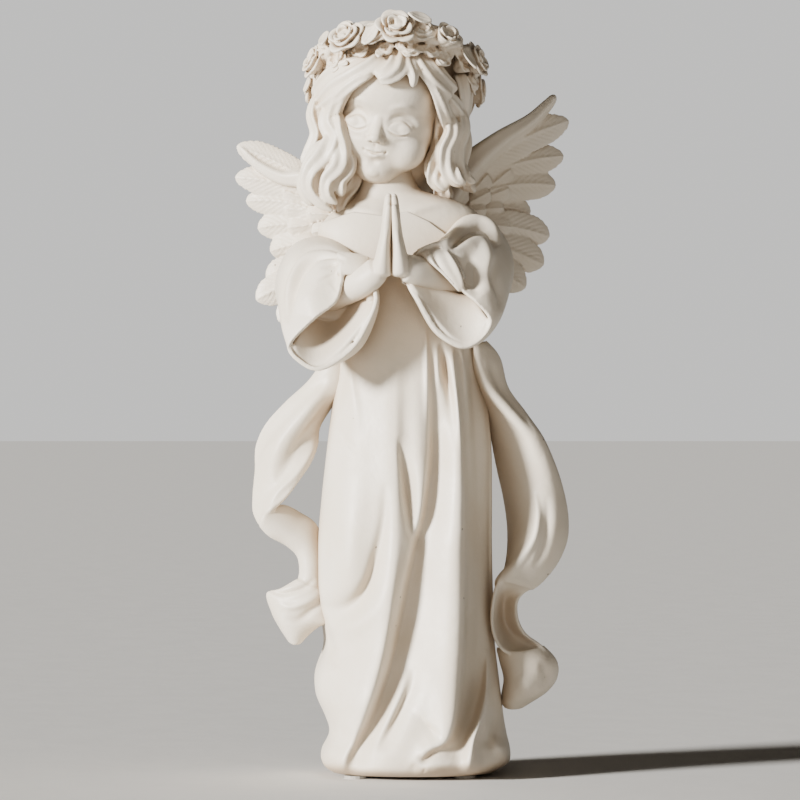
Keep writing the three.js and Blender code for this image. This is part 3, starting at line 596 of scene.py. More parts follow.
def gown_mesh():
    """The gown, with the socket for the filler plug in its underside."""
    flange = (PLUG_HIGH.x - PLUG_LOW.x) / 2 / UNIT + 0.3
    bottom = PLUG_LOW.z / UNIT
    socket = [(0.0, 12.0), (13.0, 12.0), (13.0, bottom + 2), (flange, bottom + 2), (flange, bottom)]
    around, up = 310, 300
    under = len(socket) + 3

    def shape(u, v):
        angle = 2 * math.pi * u
        angle = angle - 0.42 * np.cos(angle)  # closer together at the front
        row = np.rint(v * up).astype(int)
        top = np.interp(torso(np.full(len(u), 280.0), angle)[:, 0], *np.array(NECKLINE_FRONT).T)
        behind = np.interp(torso(np.full(len(u), 270.0), angle)[:, 0], *np.array(NECKLINE_BACK).T)
        blend = step(np.sin(angle), -0.25, 0.25)
        top = top * (1 - blend) + behind * blend
        climb = np.clip((row - under) / (up - 3 - under), 0, 1)
        z = bottom + climb * (top - bottom)
        hem = 2.6 * (1 - np.clip((z - bottom) / 3.0, 0, 1)) ** 2
        points = torso(z, angle, hem)
        for k, (radius, height) in enumerate(socket):
            ring = np.stack([radius * np.cos(angle), radius * np.sin(angle), np.full(len(u), height)], 1)
            points[row == k] = ring[row == k]
        for k, share in enumerate((0.35, 0.7, 0.95)):
            flat = np.stack([flange * np.cos(angle), flange * np.sin(angle), np.full(len(u), bottom)], 1)
            rim = torso(np.full(len(u), bottom), angle, 3.4)
            mixed = flat * (1 - share) + rim * share
            points[row == len(socket) + k] = mixed[row == len(socket) + k]
        for k, inset in ((2, 1.2), (1, 2.2)):
            lip = torso(z, angle, inset) - np.array([0, 0, 0.6 * inset])
            points[row == up - k] = lip[row == up - k]
        points[row == up] = (0, 2, 262)
        return points

    mesh = mesh_of(sheet(shape, around, up), "gown")
    points, normals = corners(mesh), outward(mesh)
    seen = points[:, [0, 2]]
    front = step(-normals[:, 1], -0.05, 0.35)
    back = step(normals[:, 1], -0.05, 0.35)
    level = normals * [1, 1, 0]
    ahead = sum(stroke(seen, fold) for fold in FRONT_FOLDS) * front
    behind = back_folds(seen) * back
    kept = step(points[:, 2], bottom - 0.1, bottom + 2.5) * 0.9 + 0.1
    kept *= np.hypot(points[:, 0], points[:, 1]) > flange + 1
    forward = np.array([0.0, -1.0, 0.0])
    move(mesh, points + forward * (ahead * kept)[:, None] + level * (behind * kept)[:, None])
    return finished(mesh, [("SMOOTH", {"factor": 0.5, "iterations": 3})])


piece("gown", gown_mesh(), RESIN, "resin", "gown")

# ---- Bust ----


def bust_mesh():
    rows = [
        (252, -33, 34, -18, 19),
        (262, -37.5, 39.5, -18, 19.5),
        (272, -40, 42, -16.5, 18.5),
        (279, -36, 40, -14.5, 17),
        (284, -30, 34, -12.5, 15.5),
        (288, -24, 24, -10, 14.5),
        (292, -21, 11, -8.5, 14),
        (298, -19.5, 7, -7.5, 14),
        (304, -19, 6, -7, 14),
    ]
    fine = smooth(rows, 200)

    def shape(u, v):
        angle = 2 * math.pi * u
        z = 252 + 52 * v
        right, left, front, back = (np.interp(z, fine[:, 0], fine[:, k]) for k in range(1, 5))
        ends = np.where((v < 0.001) | (v > 0.999), 0.0, 1.0)
        x = (left + right) / 2 + ends * (left - right) / 2 * np.cos(angle)
        y = (front + back) / 2 + ends * (back - front) / 2 * np.sin(angle)
        return np.stack([x, y, z], 1)

    mesh = mesh_of(sheet(shape, 160, 110), "bust")
    points, normals = corners(mesh), outward(mesh)
    seen = points[:, [0, 2]]
    front = step(-normals[:, 1], 0.0, 0.5)
    bones = [
        [(-30, 281, 0, 2, 3), (-20, 281.5, 0.9, 2, 2.5), (-8, 279, 0.4, 2, 2.5), (-4, 276, 0, 2, 3)],
        [(2, 277, 0, 2, 3), (8, 281, 0.8, 2, 2.5), (20, 284, 0.7, 2, 2.5), (30, 283, 0, 2, 3)],
        [(-6, 285, -1.2, 4, 4), (-5, 279, -1.0, 4, 4), (-4, 272, 0, 4, 4)],
    ]
    raised = sum(stroke(seen, bone) for bone in bones) * front
    move(mesh, points + normals * raised[:, None])
    return mesh


piece("bust", bust_mesh(), RESIN, "resin", "bust")

# ---- Sleeves ----

# Rings of matching points: the mouth's rim, then back over the puff to the shoulder.
SLEEVE_RIGHT = [
    [(-28, -46, 255), (-29.5, -47, 244), (-32, -48, 235), (-43, -49, 226.5), (-55, -46, 213),
     (-48, -47, 204),
     (-38, -48, 201.5), (-23.5, -48, 211.5), (-15.5, -49, 224), (-11, -49, 238), (-18, -46, 250)],
    [(-28.5, -42, 257), (-31, -43, 248), (-36, -44, 240), (-46, -45, 231), (-56, -43, 217), (-49, -43, 205),
     (-37, -44, 202), (-22.5, -44, 211), (-14.5, -45, 223), (-10, -45, 238), (-17, -44, 253)],
    [(-30, -33, 260), (-40, -35, 257), (-48, -35, 249), (-54, -36, 238), (-58.5, -36, 224), (-51, -35, 210),
     (-37, -33, 204), (-22, -32, 210), (-14, -33, 222), (-11, -36, 238), (-18, -34, 254)],
    [(-30, -18, 264), (-42, -19, 265), (-53, -20, 260), (-59.5, -20, 248), (-60.5, -20, 234),
     (-54, -19, 219),
     (-41, -17, 212), (-28, -15, 214), (-20, -15, 224), (-17, -18, 240), (-21, -20, 256)],
    [(-30, -3, 267), (-42, -1, 269), (-54, 0, 264), (-61, 2, 251), (-61, 3, 238), (-54, 3, 227),
     (-43, 2, 223), (-33, 1, 226), (-27, -1, 234), (-24, -3, 246), (-25, -4, 259)],
    [(-31, 9, 265), (-39, 13, 266), (-48, 15, 261), (-53, 15, 251), (-52, 15, 242), (-46, 14, 236),
     (-39, 13, 235), (-33, 11, 238), (-29, 9, 244), (-28, 8, 251), (-28, 8, 259)],
    [(-29, 8, 261), (-32, 10, 262), (-36, 11, 260), (-38, 11, 256), (-37, 11, 252), (-35, 11, 249),
     (-32, 10, 248), (-30, 9, 250), (-28, 8, 253), (-27, 8, 256), (-27, 8, 259)],
]
SLEEVE_LEFT = [
    [(19, -43, 263), (23.5, -45, 252), (30, -47, 241.5), (38, -49, 234.5), (44.5, -47, 226), (40, -47, 217),
     (30, -48, 212.5), (18, -49, 220), (9, -50, 234), (3, -46, 246), (9, -42, 257)],
    [(22, -41, 265), (28, -42, 256), (35, -43, 247), (43, -45, 239), (47.5, -44, 227), (41.5, -44, 216.5),
     (30.5, -45, 212), (18, -46, 219), (9, -46, 233), (3, -46, 246), (9, -44, 260)],
    [(24, -33, 267), (34, -34, 264), (42, -35, 257), (49, -36, 246), (51, -37, 231), (43.5, -37, 219),
     (31.5, -37, 213.5), (18.5, -36, 219), (10, -37, 232), (6, -38, 246), (12, -36, 260)],
    [(26, -18, 271), (37, -18, 273), (48, -18, 267), (54.5, -19, 254), (54, -20, 239), (46.5, -20, 226),
     (34.5, -18, 219.5), (23, -16, 223), (15.5, -16, 234), (13, -18, 248), (17, -20, 263)],
    [(28, -3, 275), (38, -1, 278), (49, 1, 273), (56, 3, 260), (55.5, 4, 246), (48.5, 4, 235),
     (38, 3, 230), (29, 1, 233), (23, -1, 241), (20.5, -3, 253), (22, -4, 266)],
    [(30, 9, 270), (37, 13, 271), (45, 14, 266), (49, 15, 257), (48, 15, 248), (43, 14, 242),
     (37, 13, 240), (31, 11, 243), (27, 9, 249), (26, 8, 256), (27, 8, 264)],
    [(29, 8, 263), (32, 10, 264), (35, 11, 262), (37, 11, 259), (37, 11, 255), (34, 11, 252),
     (32, 10, 251), (29, 9, 253), (27, 8, 256), (27, 8, 259), (27, 8, 262)],
]
SLEEVE_RIGHT_FOLDS = [
    [(-26, 255, 0, 1.2, 1.2), (-33, 257.5, -1.6, 2.2, 1.2), (-41, 256.5, -2.6, 3, 1.4),
     (-48.5, 248, -2.8, 3, 1.5),
     (-53.5, 234.5, -2.2, 2.6, 1.4), (-54.5, 224, 0, 2, 1.4)],
    [(-24, 257, 0, 1, 1), (-36, 262, -0.9, 1.2, 0.9), (-47, 260.5, -1.2, 1.3, 0.9),
     (-54.5, 251, -1.1, 1.3, 0.9),
     (-57.5, 238, -0.8, 1.2, 0.9), (-56, 226, 0, 1, 1)],
    [(-24, 255.5, 0, 1.5, 1.5), (-37, 259.6, 1.3, 1.6, 1.6), (-48, 256, 1.5, 1.7, 1.7),
     (-55, 243, 1.3, 1.7, 1.7),
     (-56, 228, 0, 1.6, 1.6)],
    [(-30, 251, 0, 2, 2), (-38, 247, 2.0, 7, 6), (-43, 238, 2.2, 7, 7), (-45, 228, 0, 6, 5)],
    [(-29, 254, 0, 0.8, 0.8), (-34, 252.5, -0.8, 0.8, 1.2), (-39, 251, 0, 1, 1)],
    [(-30, 249, 0, 0.8, 0.8), (-35, 247, -0.6, 0.8, 1.2), (-40, 244, 0, 1, 1)],
]
SLEEVE_LEFT_FOLDS = [
    [(21, 262, 0, 2, 2), (26, 270, 2.4, 2.2, 2.4), (33, 276, 3.2, 2.6, 2.8), (40, 277, 3.4, 2.6, 3),
     (46, 272, 3.0, 2.6, 3), (48, 264, 0, 2.4, 3)],
    [(25, 261, 0, 1.4, 1.4), (29, 265, -3.4, 1.8, 1.6), (34, 269.5, -4.6, 2.2, 1.8),
     (40, 271.5, -4.6, 2.2, 1.8),
     (45, 269, -3.4, 2, 1.8), (47.5, 262, 0, 1.6, 1.6)],
    [(25, 260, 0, 2, 2), (32, 264, 2.0, 3, 2.4), (40, 265, 2.4, 3.6, 2.4), (43.5, 257, 2.0, 3, 3),
     (42, 248, 0, 3, 3)],
    [(36, 262, 0, 3, 3), (34.5, 253, -2.6, 3.4, 3.4), (36, 244, -2.2, 3.4, 3.4), (40, 238, 0, 3, 3)],
    [(46.5, 258, 0, 1.6, 1.6), (46, 248, -1.8, 1.8, 2.2), (49, 238, -1.6, 1.8, 2.2), (49, 230, 0, 2, 2)],
    [(15, 262, 0, 1, 1), (18.5, 253, -1.7, 0.9, 1.7), (23.5, 246, -1.7, 0.9, 1.7), (29, 241, 0, 1, 1)],
    [(21.5, 262, 0, 1, 1), (26, 254, 1.5, 1.4, 1.1), (30, 246, 1.4, 1.4, 1.1), (31, 240.5, 0, 1, 1)],
    [(24, 261, 0, 1, 1), (28.5, 254, -1.6, 1, 1.4), (32, 246, -1.4, 1, 1.4), (33, 240, 0, 1, 1)],
]


# Bands inside the mouths, as rows of three places: the hanging lobe's near wall, and the cuff's turns.
LININGS_RIGHT = [
    [(-53, -44.5, 213.5, -38, -46.5, 203.5, -12, -48, 232), (-50, -40, 219, -36, -39.5, 211, -13, -44, 236),
     (-46, -33, 226, -33, -31, 222, -15, -40, 240), (-41, -26, 232, -29, -25, 233, -18, -35, 244)],
    [(-31, -44, 248.5, -25, -45.5, 248, -17, -46, 247),
     (-30.5, -44, 253, -24.5, -45.5, 252.5, -16, -46, 250.5),
     (-31, -42, 257, -24, -43, 256.5, -15, -43.5, 253.5), (-31, -38, 259, -24, -40, 258, -15, -40, 257)],
    [(-42, -31, 256, -28, -33, 260, -12, -35, 256), (-44, -30, 246, -28, -30, 248, -11, -35, 246),
     (-44, -30, 236, -28, -29, 236, -12, -35, 236), (-42, -30, 228, -28, -30, 226, -15, -34, 228)],
]
LININGS_LEFT = [
    [(4, -48.5, 245, 29, -46.5, 214, 43.5, -45, 226.5), (8, -46, 244, 28.5, -42.5, 221, 41, -42, 230),
     (12, -43, 244, 27.5, -39, 230, 38, -39, 235), (16, -40, 245, 27, -36.5, 240, 34, -36, 239)],
    [(8, -41, 258.5, 16.5, -49.5, 252.5, 28.5, -46.5, 240),
     (14, -39, 262, 23.5, -47, 253.5, 31.5, -45, 240.5),
     (20, -36, 264, 29, -43.5, 253.5, 34, -42.5, 240)],
    [(8, -34, 261, 20, -32, 264, 34, -33, 258), (8, -34, 252, 20, -30, 252, 36, -31, 249),
     (9, -34, 243, 21, -30, 242, 36, -32, 241), (11, -35, 233, 22, -32, 232, 35, -33, 234)],
]


# Thicker lumps of cloth where the mouths close on the wrists.
TUCKS_RIGHT = [((-13.6, -41.5, 238.5), (3.4, 4, 5))]
TUCKS_LEFT = [((9, -38.5, 257), (3.2, 4, 3.4))]


def sleeve_mesh(rings, linings, tucks, folds):
    parts = [skin(rings, 200, 110, 2.1)] + [ribbon(rows, 3.0, 20, 50, 0.08) for rows in linings]
    parts += [ball(centre, radii) for centre, radii in tucks]
    return pressed(fused(parts, 0.52, 3), folds, (0.02, 0.4))


piece("sleeve_right", sleeve_mesh(SLEEVE_RIGHT, LININGS_RIGHT, TUCKS_RIGHT, SLEEVE_RIGHT_FOLDS), RESIN,
      "resin", "sleeve_right")
piece("sleeve_left", sleeve_mesh(SLEEVE_LEFT, LININGS_LEFT, TUCKS_LEFT, SLEEVE_LEFT_FOLDS), RESIN, "resin",
      "sleeve_left")

# ---- Hands ----

PALMS = -4.2  # where the palms meet
# Each finger's front-to-back place, the height of its tip and its thickness.
FINGERS = [(-56.5, 282.5, 2.3), (-52.4, 286.8, 2.5), (-48, 288.2, 2.6), (-43.6, 285.6, 2.5)]


def hand_mesh(side, elbow, wrist):
    """A hand held flat against the other, with its forearm; side is -1 for the right hand."""

    def out(distance, y, z, wide, thick):
        return (PALMS + side * (distance - 0.5), y, z, wide, thick)

    parts = []
    for y, tip, size in FINGERS:
        root = 266 + 0.25 * (tip - 285)
        bend = 0.25 * (y + 50)
        rows = [
            out(3.4, y - 2 * bend, root - 13, size * 0.6, size * 0.6),
            out(3.2, y - 0.8 * bend, root - 3, size * 0.95, size * 0.95),
            out(2.7, y, root + 0.4 * (tip - root), size * 0.96, size * 0.92),
            out(2.4, y, root + 0.6 * (tip - root), size * 0.94, size * 0.88),
            out(2.0, y, root + 0.86 * (tip - root), size * 0.82, size * 0.74),
            out(1.5, y + 0.2, tip, size * 0.62, size * 0.5),
        ]
        parts.append(tube(rows, (0, 1, 0), 24, 60, 0.09))
    thumb = [out(3.4, -41, 257, 3.4, 3.2), out(3.4, -39.5, 264, 2.9, 2.7), out(2.8, -38.8, 270, 2.5, 2.3),
             out(2.4, -39.5, 276, 2.0, 1.8)]
    parts.append(tube(thumb, (0, 1, 0), 24, 50, 0.12))
    palm = [out(5.2, -49, 247, 6.4, 5.2), out(4.7, -49.8, 253, 7.8, 4.7), out(4.0, -50, 260, 8.7, 3.8),
            out(3.2, -50, 267, 8.8, 3.0), out(2.8, -50, 273, 8.3, 2.5), out(2.4, -50, 279, 7.2, 2.0)]
    parts.append(tube(palm, (0, 1, 0), 32, 60, 0.1))
    arm = [(*elbow, 9.5, 9.5), (*(0.55 * np.array(elbow) + 0.45 * np.array(wrist)), 9, 8.6),
           (*wrist, 7.6, 7),
           out(6.0, -49.4, 252, 7.0, 5.6)]
    parts.append(tube(arm, (0, 0.4, 1), 36, 60, 0.08))
    return fused(parts, 0.42, 16)


piece("hand_right", hand_mesh(-1, (-44, -18, 236), (-17.5, -44.5, 245.5)), RESIN, "resin", "hand_right")
piece("hand_left", hand_mesh(1, (38, -18, 243), (9, -44.5, 250)), RESIN, "resin", "hand_left")

# ---- Head ----

HEAD_CENTRE = (-5.5, 2, 332)
HEAD_TURN = (
    Matrix.Rotation(math.radians(10), 4, "Y")
    @ Matrix.Rotation(math.radians(-9), 4, "Z")
    @ Matrix.Rotation(math.radians(12), 4, "X")
)
HEAD_PLACE = Matrix.Translation(HEAD_CENTRE) @ HEAD_TURN


def head_mesh():
    """A calm child's face with closed eyes, on plain proportions, in the head's own frame."""
    form = [
        ball((0, 6, 9), (28.5, 32, 29.5)),
        ball((0, -8, 11), (24.5, 20.5, 19.5)),
        ball((0, -6, -8), (25, 21, 25.5)),
        ball((0, -12.5, -26), (12.5, 11.5, 10)),
        ball((12.5, -13.5, -15.5), (11.5, 10.5, 11.5)),
        ball((-12.5, -13.5, -15.5), (11.5, 10.5, 11.5)),
        tube([(0, 4, -24, 13, 13), (0, 5, -36, 13, 13), (2, 6, -46, 15, 14)], (1, 0, 0), 36, 50),
    ]
    features = [
        ball((11, -19.8, -5.2), (6.9, 5.2, 4.7)),
        ball((-11, -19.8, -5.2), (6.9, 5.2, 4.7)),
        tube([(0, -24.4, 1, 3, 1.6), (0, -25.9, -4, 2.6, 1.8), (0, -27.9, -9, 2.8, 2.2),
              (0, -28, -11.6, 2.4, 1.8)], (1, 0, 0)),
        ball((0, -28.6, -10.6), (3.1, 2.6, 2.5)),
        ball((2.9, -26.7, -11.5), (2.1, 2.3, 1.8)),
        ball((-2.9, -26.7, -11.5), (2.1, 2.3, 1.8)),
        ball((0, -21.9, -18), (7.4, 3.8, 5)),
        ball((1.9, -24.5, -17.2), (3.2, 1.8, 1.25)),
        ball((-1.9, -24.5, -17.2), (3.2, 1.8, 1.25)),
        ball((0, -24.2, -19.7), (3.5, 2.1, 1.6)),
        ball((0, -20, -28), (5.2, 4, 4)),
    ]
    mesh = fused([fused(form, 0.9, 24, 0.6), *features], 0.5, 7)
    marks = [
        [(-5, -17.8, 0, 0.5, 0.5), (-2.6, -18.2, -0.9, 0.55, 0.5), (0, -18.6, -1.1, 0.55, 0.5),
         (2.6, -18.2, -0.9, 0.55, 0.5), (5, -17.8, 0, 0.5, 0.5)],
        [(0, -13.4, 0, 0.6, 0.6), (0, -14.8, -0.5, 0.8, 0.8), (0, -16, 0, 0.8, 0.8)],
        [(-3.2, -23.4, 0, 1.5, 1.2), (0, -23.2, -0.8, 1.7, 1.3), (3.2, -23.4, 0, 1.5, 1.2)],
    ]
    for row in (
        [(4.4, -4.0, 0, 1.5, 1.5), (7.4, -0.2, -1.2, 1.8, 1.6), (11.5, 1.1, -1.5, 1.8, 1.8),
         (15.8, -0.6, -1.0, 1.8, 1.6),
         (18.5, -3.6, 0, 1.5, 1.5)],
        [(5.2, -5.0, 0, 0.5, 0.5), (7.3, -2.2, -0.5, 0.5, 0.6), (11.2, -0.8, -0.55, 0.5, 0.6),
         (15, -2.2, -0.45, 0.5, 0.6),
         (17, -4.8, 0, 0.5, 0.5)],
        [(4.6, -5.6, 0, 0.45, 0.4), (7.4, -7.4, -0.8, 0.5, 0.4), (11, -8.5, -1.0, 0.55, 0.4),
         (14.6, -7.7, -0.85, 0.5, 0.4),
         (17.8, -5.4, 0, 0.45, 0.4)],
        [(5.4, -5.1, 0, 0.5, 0.5), (7.8, -6.5, 0.35, 0.5, 0.5), (11, -7.5, 0.5, 0.5, 0.55),
         (14.4, -6.7, 0.4, 0.5, 0.5),
         (17, -4.8, 0, 0.5, 0.5)],
        [(6, -10.4, 0, 1.2, 1), (10.6, -11.6, -0.4, 1.4, 1.2), (15.4, -10.2, 0, 1.2, 1)],
        [(3.4, 3.2, 0, 1.4, 1.2), (8, 6.0, 0.5, 1.6, 1.4), (13, 6.8, 0.6, 1.6, 1.4),
         (18.5, 3.8, 0, 1.4, 1.2)],
        [(4.9, -17.4, 0, 0.7, 0.7), (5.6, -17.7, -0.8, 0.8, 0.8), (6.3, -18.1, 0, 0.8, 0.8)],
        [(1.0, -13.1, 0, 0.5, 0.5), (1.8, -12.8, -0.9, 0.6, 0.5), (2.6, -12.8, 0, 0.5, 0.5)],
        [(4.9, -9.8, 0, 0.6, 0.6), (5.2, -11.4, -0.5, 0.6, 0.7), (4.6, -13, 0, 0.6, 0.6)],
    ):
        mirrored = [(-x, z, high, before, after) for x, z, high, after, before in row][::-1]
        marks += [row, [(x, z, high, b, a) for x, z, high, a, b in mirrored]]
    pressed(mesh, marks, (0.05, 0.35))
    mesh.transform(HEAD_PLACE)
    return mesh


piece("head", head_mesh(), RESIN, "resin", "head")

# ---- Hair ----

HAIR_CENTRE = np.array([-4.0, 10.0, 341.0])
HAIR_RADII = np.array([37.0, 38.5, 36.0])


def on_hair(x, z, lift):
    """A point on the head of hair at a place seen from the front, lifted off it."""
    dx, dz = (x - HAIR_CENTRE[0]) / HAIR_RADII[0], (z - HAIR_CENTRE[2]) / HAIR_RADII[2]
    bulge = math.sqrt(max(0.0, 1 - dx * dx - dz * dz))
    return HAIR_CENTRE[1] - (HAIR_RADII[1] * bulge + lift)


def lock(rows):
    """A lock of hair laid on the head: rows of place seen from the front, lift, width and thickness."""
    return loose_lock([(x, on_hair(x, z, lift), z, wide, thick) for x, z, lift, wide, thick in rows])


def loose_lock(path, grooves=5, depth=0.2, turn=2.0):
    """A lock of hair through rows of place, width and thickness, flat against the head."""
    places = np.array(path, float)[:, :3]
    ahead = np.gradient(places, axis=0)
    away = places - HAIR_CENTRE
    return tube(path, np.cross(ahead, away), 40, 90, 0.12, (grooves, depth, turn))


# Locks round the face, from the parting and from under the wreath.
FACE_LOCKS = [
    # the fringe that sweeps to the figure's right, with a curled end
    [(0, 362, 1, 3, 2), (1, 357, 1.5, 4, 2.6), (-1, 350, 2.5, 4.4, 3), (-6, 346.3, 3.5, 3.8, 2.6),
     (-11, 345.2, 3.5, 2.4, 2)],
    [(-3, 360, 1, 3, 2), (-4, 354, 1.5, 3.4, 2.4), (-8, 349.5, 2.5, 3, 2.2), (-12, 346.5, 3.2, 2, 1.6)],
    # the swoop along the top of the forehead
    [(-9, 358, 1, 3, 2), (-15, 352.5, 2, 4.6, 3), (-24, 347.6, 2.5, 5, 3.2), (-33, 343, 2.5, 4.6, 3),
     (-40, 336, 2, 3.6, 2.6),
     (-42.5, 329, 1, 2.4, 2)],
    [(-14, 360, 0.5, 3, 2), (-22, 355, 1.5, 4.2, 2.6), (-32, 351, 2, 4.4, 3), (-39, 346, 2, 3.6, 2.6),
     (-43.5, 340, 1.5, 2.4, 2)],
    [(-24, 361, 0, 3, 2), (-33, 356.5, 1, 3.8, 2.6), (-41, 351, 1, 3.4, 2.4), (-45, 344, 1, 2.2, 1.8)],
    [(-12, 349.5, 1, 2, 1.6), (-20, 345.5, 2.6, 3, 2.2), (-27, 341, 3, 3.4, 2.4), (-33, 336, 2.5, 3, 2.2),
     (-39, 331, 2, 2, 1.6)],
    [(-18, 348, 0.5, 2.4, 2), (-26, 342, 1, 3.6, 2.8), (-31, 334.5, 1, 3.8, 3.2),
     (-33.5, 326, 0.5, 3.6, 3.2), (-33, 317, 0, 2.8, 2.6)],
    # the side of the face, curving round the cheek
    [(-26, 341, 2, 2.6, 2), (-33, 336.5, 2.6, 3.8, 2.8), (-39, 332, 2, 4, 3), (-42, 325, 1, 3.4, 2.6),
     (-38, 318.5, 1, 2.4, 2)],
    # the small locks from the parting to the figure's left
    [(4, 360, 1, 2.4, 2), (4.6, 353, 2, 3, 2.2), (6.6, 347, 3, 2.6, 2), (6.2, 341, 3, 1.2, 1.2)],
    [(6, 362, 0.5, 3, 2), (10, 354, 1.5, 4, 2.6), (15, 346.5, 2.4, 4, 2.6), (20.5, 341, 2.6, 3.8, 2.6),
     (25, 337, 3, 3.4, 2.4)],
    [(10, 361, 0.5, 3, 2), (16, 353, 1.5, 3.6, 2.4), (22, 346, 2, 3.4, 2.4), (28, 341, 2.4, 2.6, 2)],
    [(13, 347, 1.5, 2, 1.6), (18, 339.5, 2.2, 3, 2.4), (21.5, 331, 2, 3.6, 2.8), (24, 323, 1, 3.6, 2.8)],
    [(24, 338, 1, 3, 2.4), (29, 331, 1.5, 4, 3), (32, 323, 0.5, 3.4, 2.6), (31, 316, 0.5, 2.4, 2)],
]
# The long loose curls down to the shoulders: place, width, thickness.
LONG_LOCKS = [
    [(-33, -8, 337, 4, 3), (-36, -9, 326, 5.5, 4), (-33, -11, 317, 6, 4.4), (-39, -12, 309, 6, 4.4),
     (-44.5, -12, 301, 5.2, 4),
     (-45, -11, 293, 4.6, 3.6), (-40, -11, 286, 3.6, 3), (-33, -12, 280.5, 1.8, 1.6)],
    [(-31, -12, 332, 3, 2.6), (-30.5, -14, 321, 4.4, 3.4), (-29, -14, 312, 5, 3.6),
     (-31.5, -15, 304, 5, 3.4),
     (-36.5, -14, 297, 4.4, 3.2), (-36, -14, 289, 3.6, 2.8), (-31, -14, 284, 1.8, 1.6)],
    [(-28, -10, 322, 3, 2.6), (-26, -11, 311, 4, 3), (-26, -12, 303, 4.4, 3.2), (-30, -12, 296, 4, 3),
     (-29, -13, 288, 2.6, 2.2)],
    [(-40, 2, 340, 4, 3), (-43, 0, 330, 4.4, 3.4), (-41, -1, 320, 4.6, 3.6), (-45, 0, 311, 4.2, 3.2),
     (-49, -1, 305, 2.2, 2)],
    [(-40, 8, 322, 5, 4), (-41, 7, 311, 6, 4.6), (-45, 6, 302, 5.6, 4.2), (-47.5, 6, 293, 4.6, 3.6),
     (-43, 4, 284, 2.6, 2.2)],
    [(-30, 6, 312, 7, 5), (-31, 4, 301, 7, 5), (-34, 3, 291, 6, 4), (-33, 2, 282, 3, 2.6)],
    [(-23, 2, 314, 6, 5), (-23, 1, 303, 6, 5), (-25, 0, 294, 5.4, 4.4), (-28, -2, 286, 4.4, 3.6),
     (-30, -4, 279, 2.4, 2)],
    [(-19, 8, 308, 6, 5), (-20, 8, 298, 6, 5), (-23, 6, 288, 5, 4), (-25, 4, 281, 3, 2.4)],
    [(21, -3, 338, 5, 4), (20.5, -4, 329, 5, 4), (19.5, -4, 320, 5, 4), (17.5, -3, 311, 4, 3)],
    [(29, -2, 350, 5, 4), (31, -3, 342, 5, 4), (31, -2, 334, 4.4, 3.6), (30, 0, 326, 3, 2.6)],
    [(25, -8, 330, 4, 3), (26, -10, 320, 4.6, 3.6), (22.5, -11, 311, 4.8, 3.6), (23.5, -11, 303, 4.4, 3.4),
     (28, -11, 297, 3.8, 3), (33, -11, 294.4, 1.8, 1.6)],
    [(30, -2, 332, 4, 3), (31.5, -5, 322, 4.8, 3.6), (28.5, -6, 313, 5, 3.8), (29, -6, 304, 4.6, 3.6),
     (33, -6, 297.5, 3.6, 2.8),
     (38, -6, 295.5, 1.6, 1.4)],
    [(20, -4, 320, 4, 3), (19, -6, 311, 4.8, 3.6), (16.5, -7, 303, 5, 3.6), (19, -8, 296, 4.4, 3.2),
     (24, -8, 291.5, 3, 2.4)],
    [(30, 6, 326, 5, 4), (31, 5, 315, 6, 4.6), (29, 4, 305, 6, 4.4), (32, 4, 297, 4.6, 3.4),
     (38, 3, 291, 2, 1.8)],
    [(20, 6, 312, 7, 5), (19, 5, 302, 7, 5), (21, 5, 293, 5, 4), (26, 5, 287.5, 2.6, 2.2)],
]


def crown_lock(turn, i):
    """A wavy lock from the crown down to the nape, on the bearing turn."""
    rows = []
    for k in range(9):
        t = k / 8
        dip = math.radians(10 + 100 * min(t * 1.4, 1))
        bearing = turn + 0.09 * math.sin(7 * t + 1.7 * i)
        out = 1.0 + 0.02 * math.sin(9 * t + 2.3 * i)
        spot = HAIR_CENTRE + HAIR_RADII * out * np.array(
            [math.sin(dip) * math.cos(bearing), math.sin(dip) * math.sin(bearing), math.cos(dip)]
        )
        fallen = max(0.0, t * 1.4 - 1)
        spot += np.array([0, 9 * math.sin(1.9 * fallen / 0.4) * math.sin(turn),
                          -fallen * (70 + 20 * math.sin(1.3 * i))])
        size = 1.5 + 3.4 * math.sin(math.pi * min(t + 0.12, 1)) ** 0.5
        rows.append((*spot, size, size * 0.62))
    return loose_lock(rows, 5, 0.24, 1.0)


def nape_lock(i):
    """A long wavy lock down the back of the head, the first at the figure's right."""
    rows = []
    for k in range(9):
        x = -37 + 5.1 * i + 2.4 * math.sin(0.95 * k + 1.9 * i)
        x += (HAIR_CENTRE[0] - x) * 0.02 * k
        bulge = math.sqrt(max(0.05, 1 - ((x - HAIR_CENTRE[0]) / 39) ** 2))
        y = HAIR_CENTRE[1] + 38.5 * bulge + 2.4 * math.sin(0.8 * k + 0.9 * i) - 0.5 * max(0,
                                                                                          k - 5) - max(0,
                                                                                                       3 - k)
        z = 337 - (6.8 + 0.5 * math.sin(2.3 * i)) * k
        size = 5.2 * math.sin(math.pi * min(k / 8 + 0.2, 0.93)) ** 0.6
        rows.append((x, y, z, size, size * 0.8))
    return loose_lock(rows, 5, 0.24, 1.6)


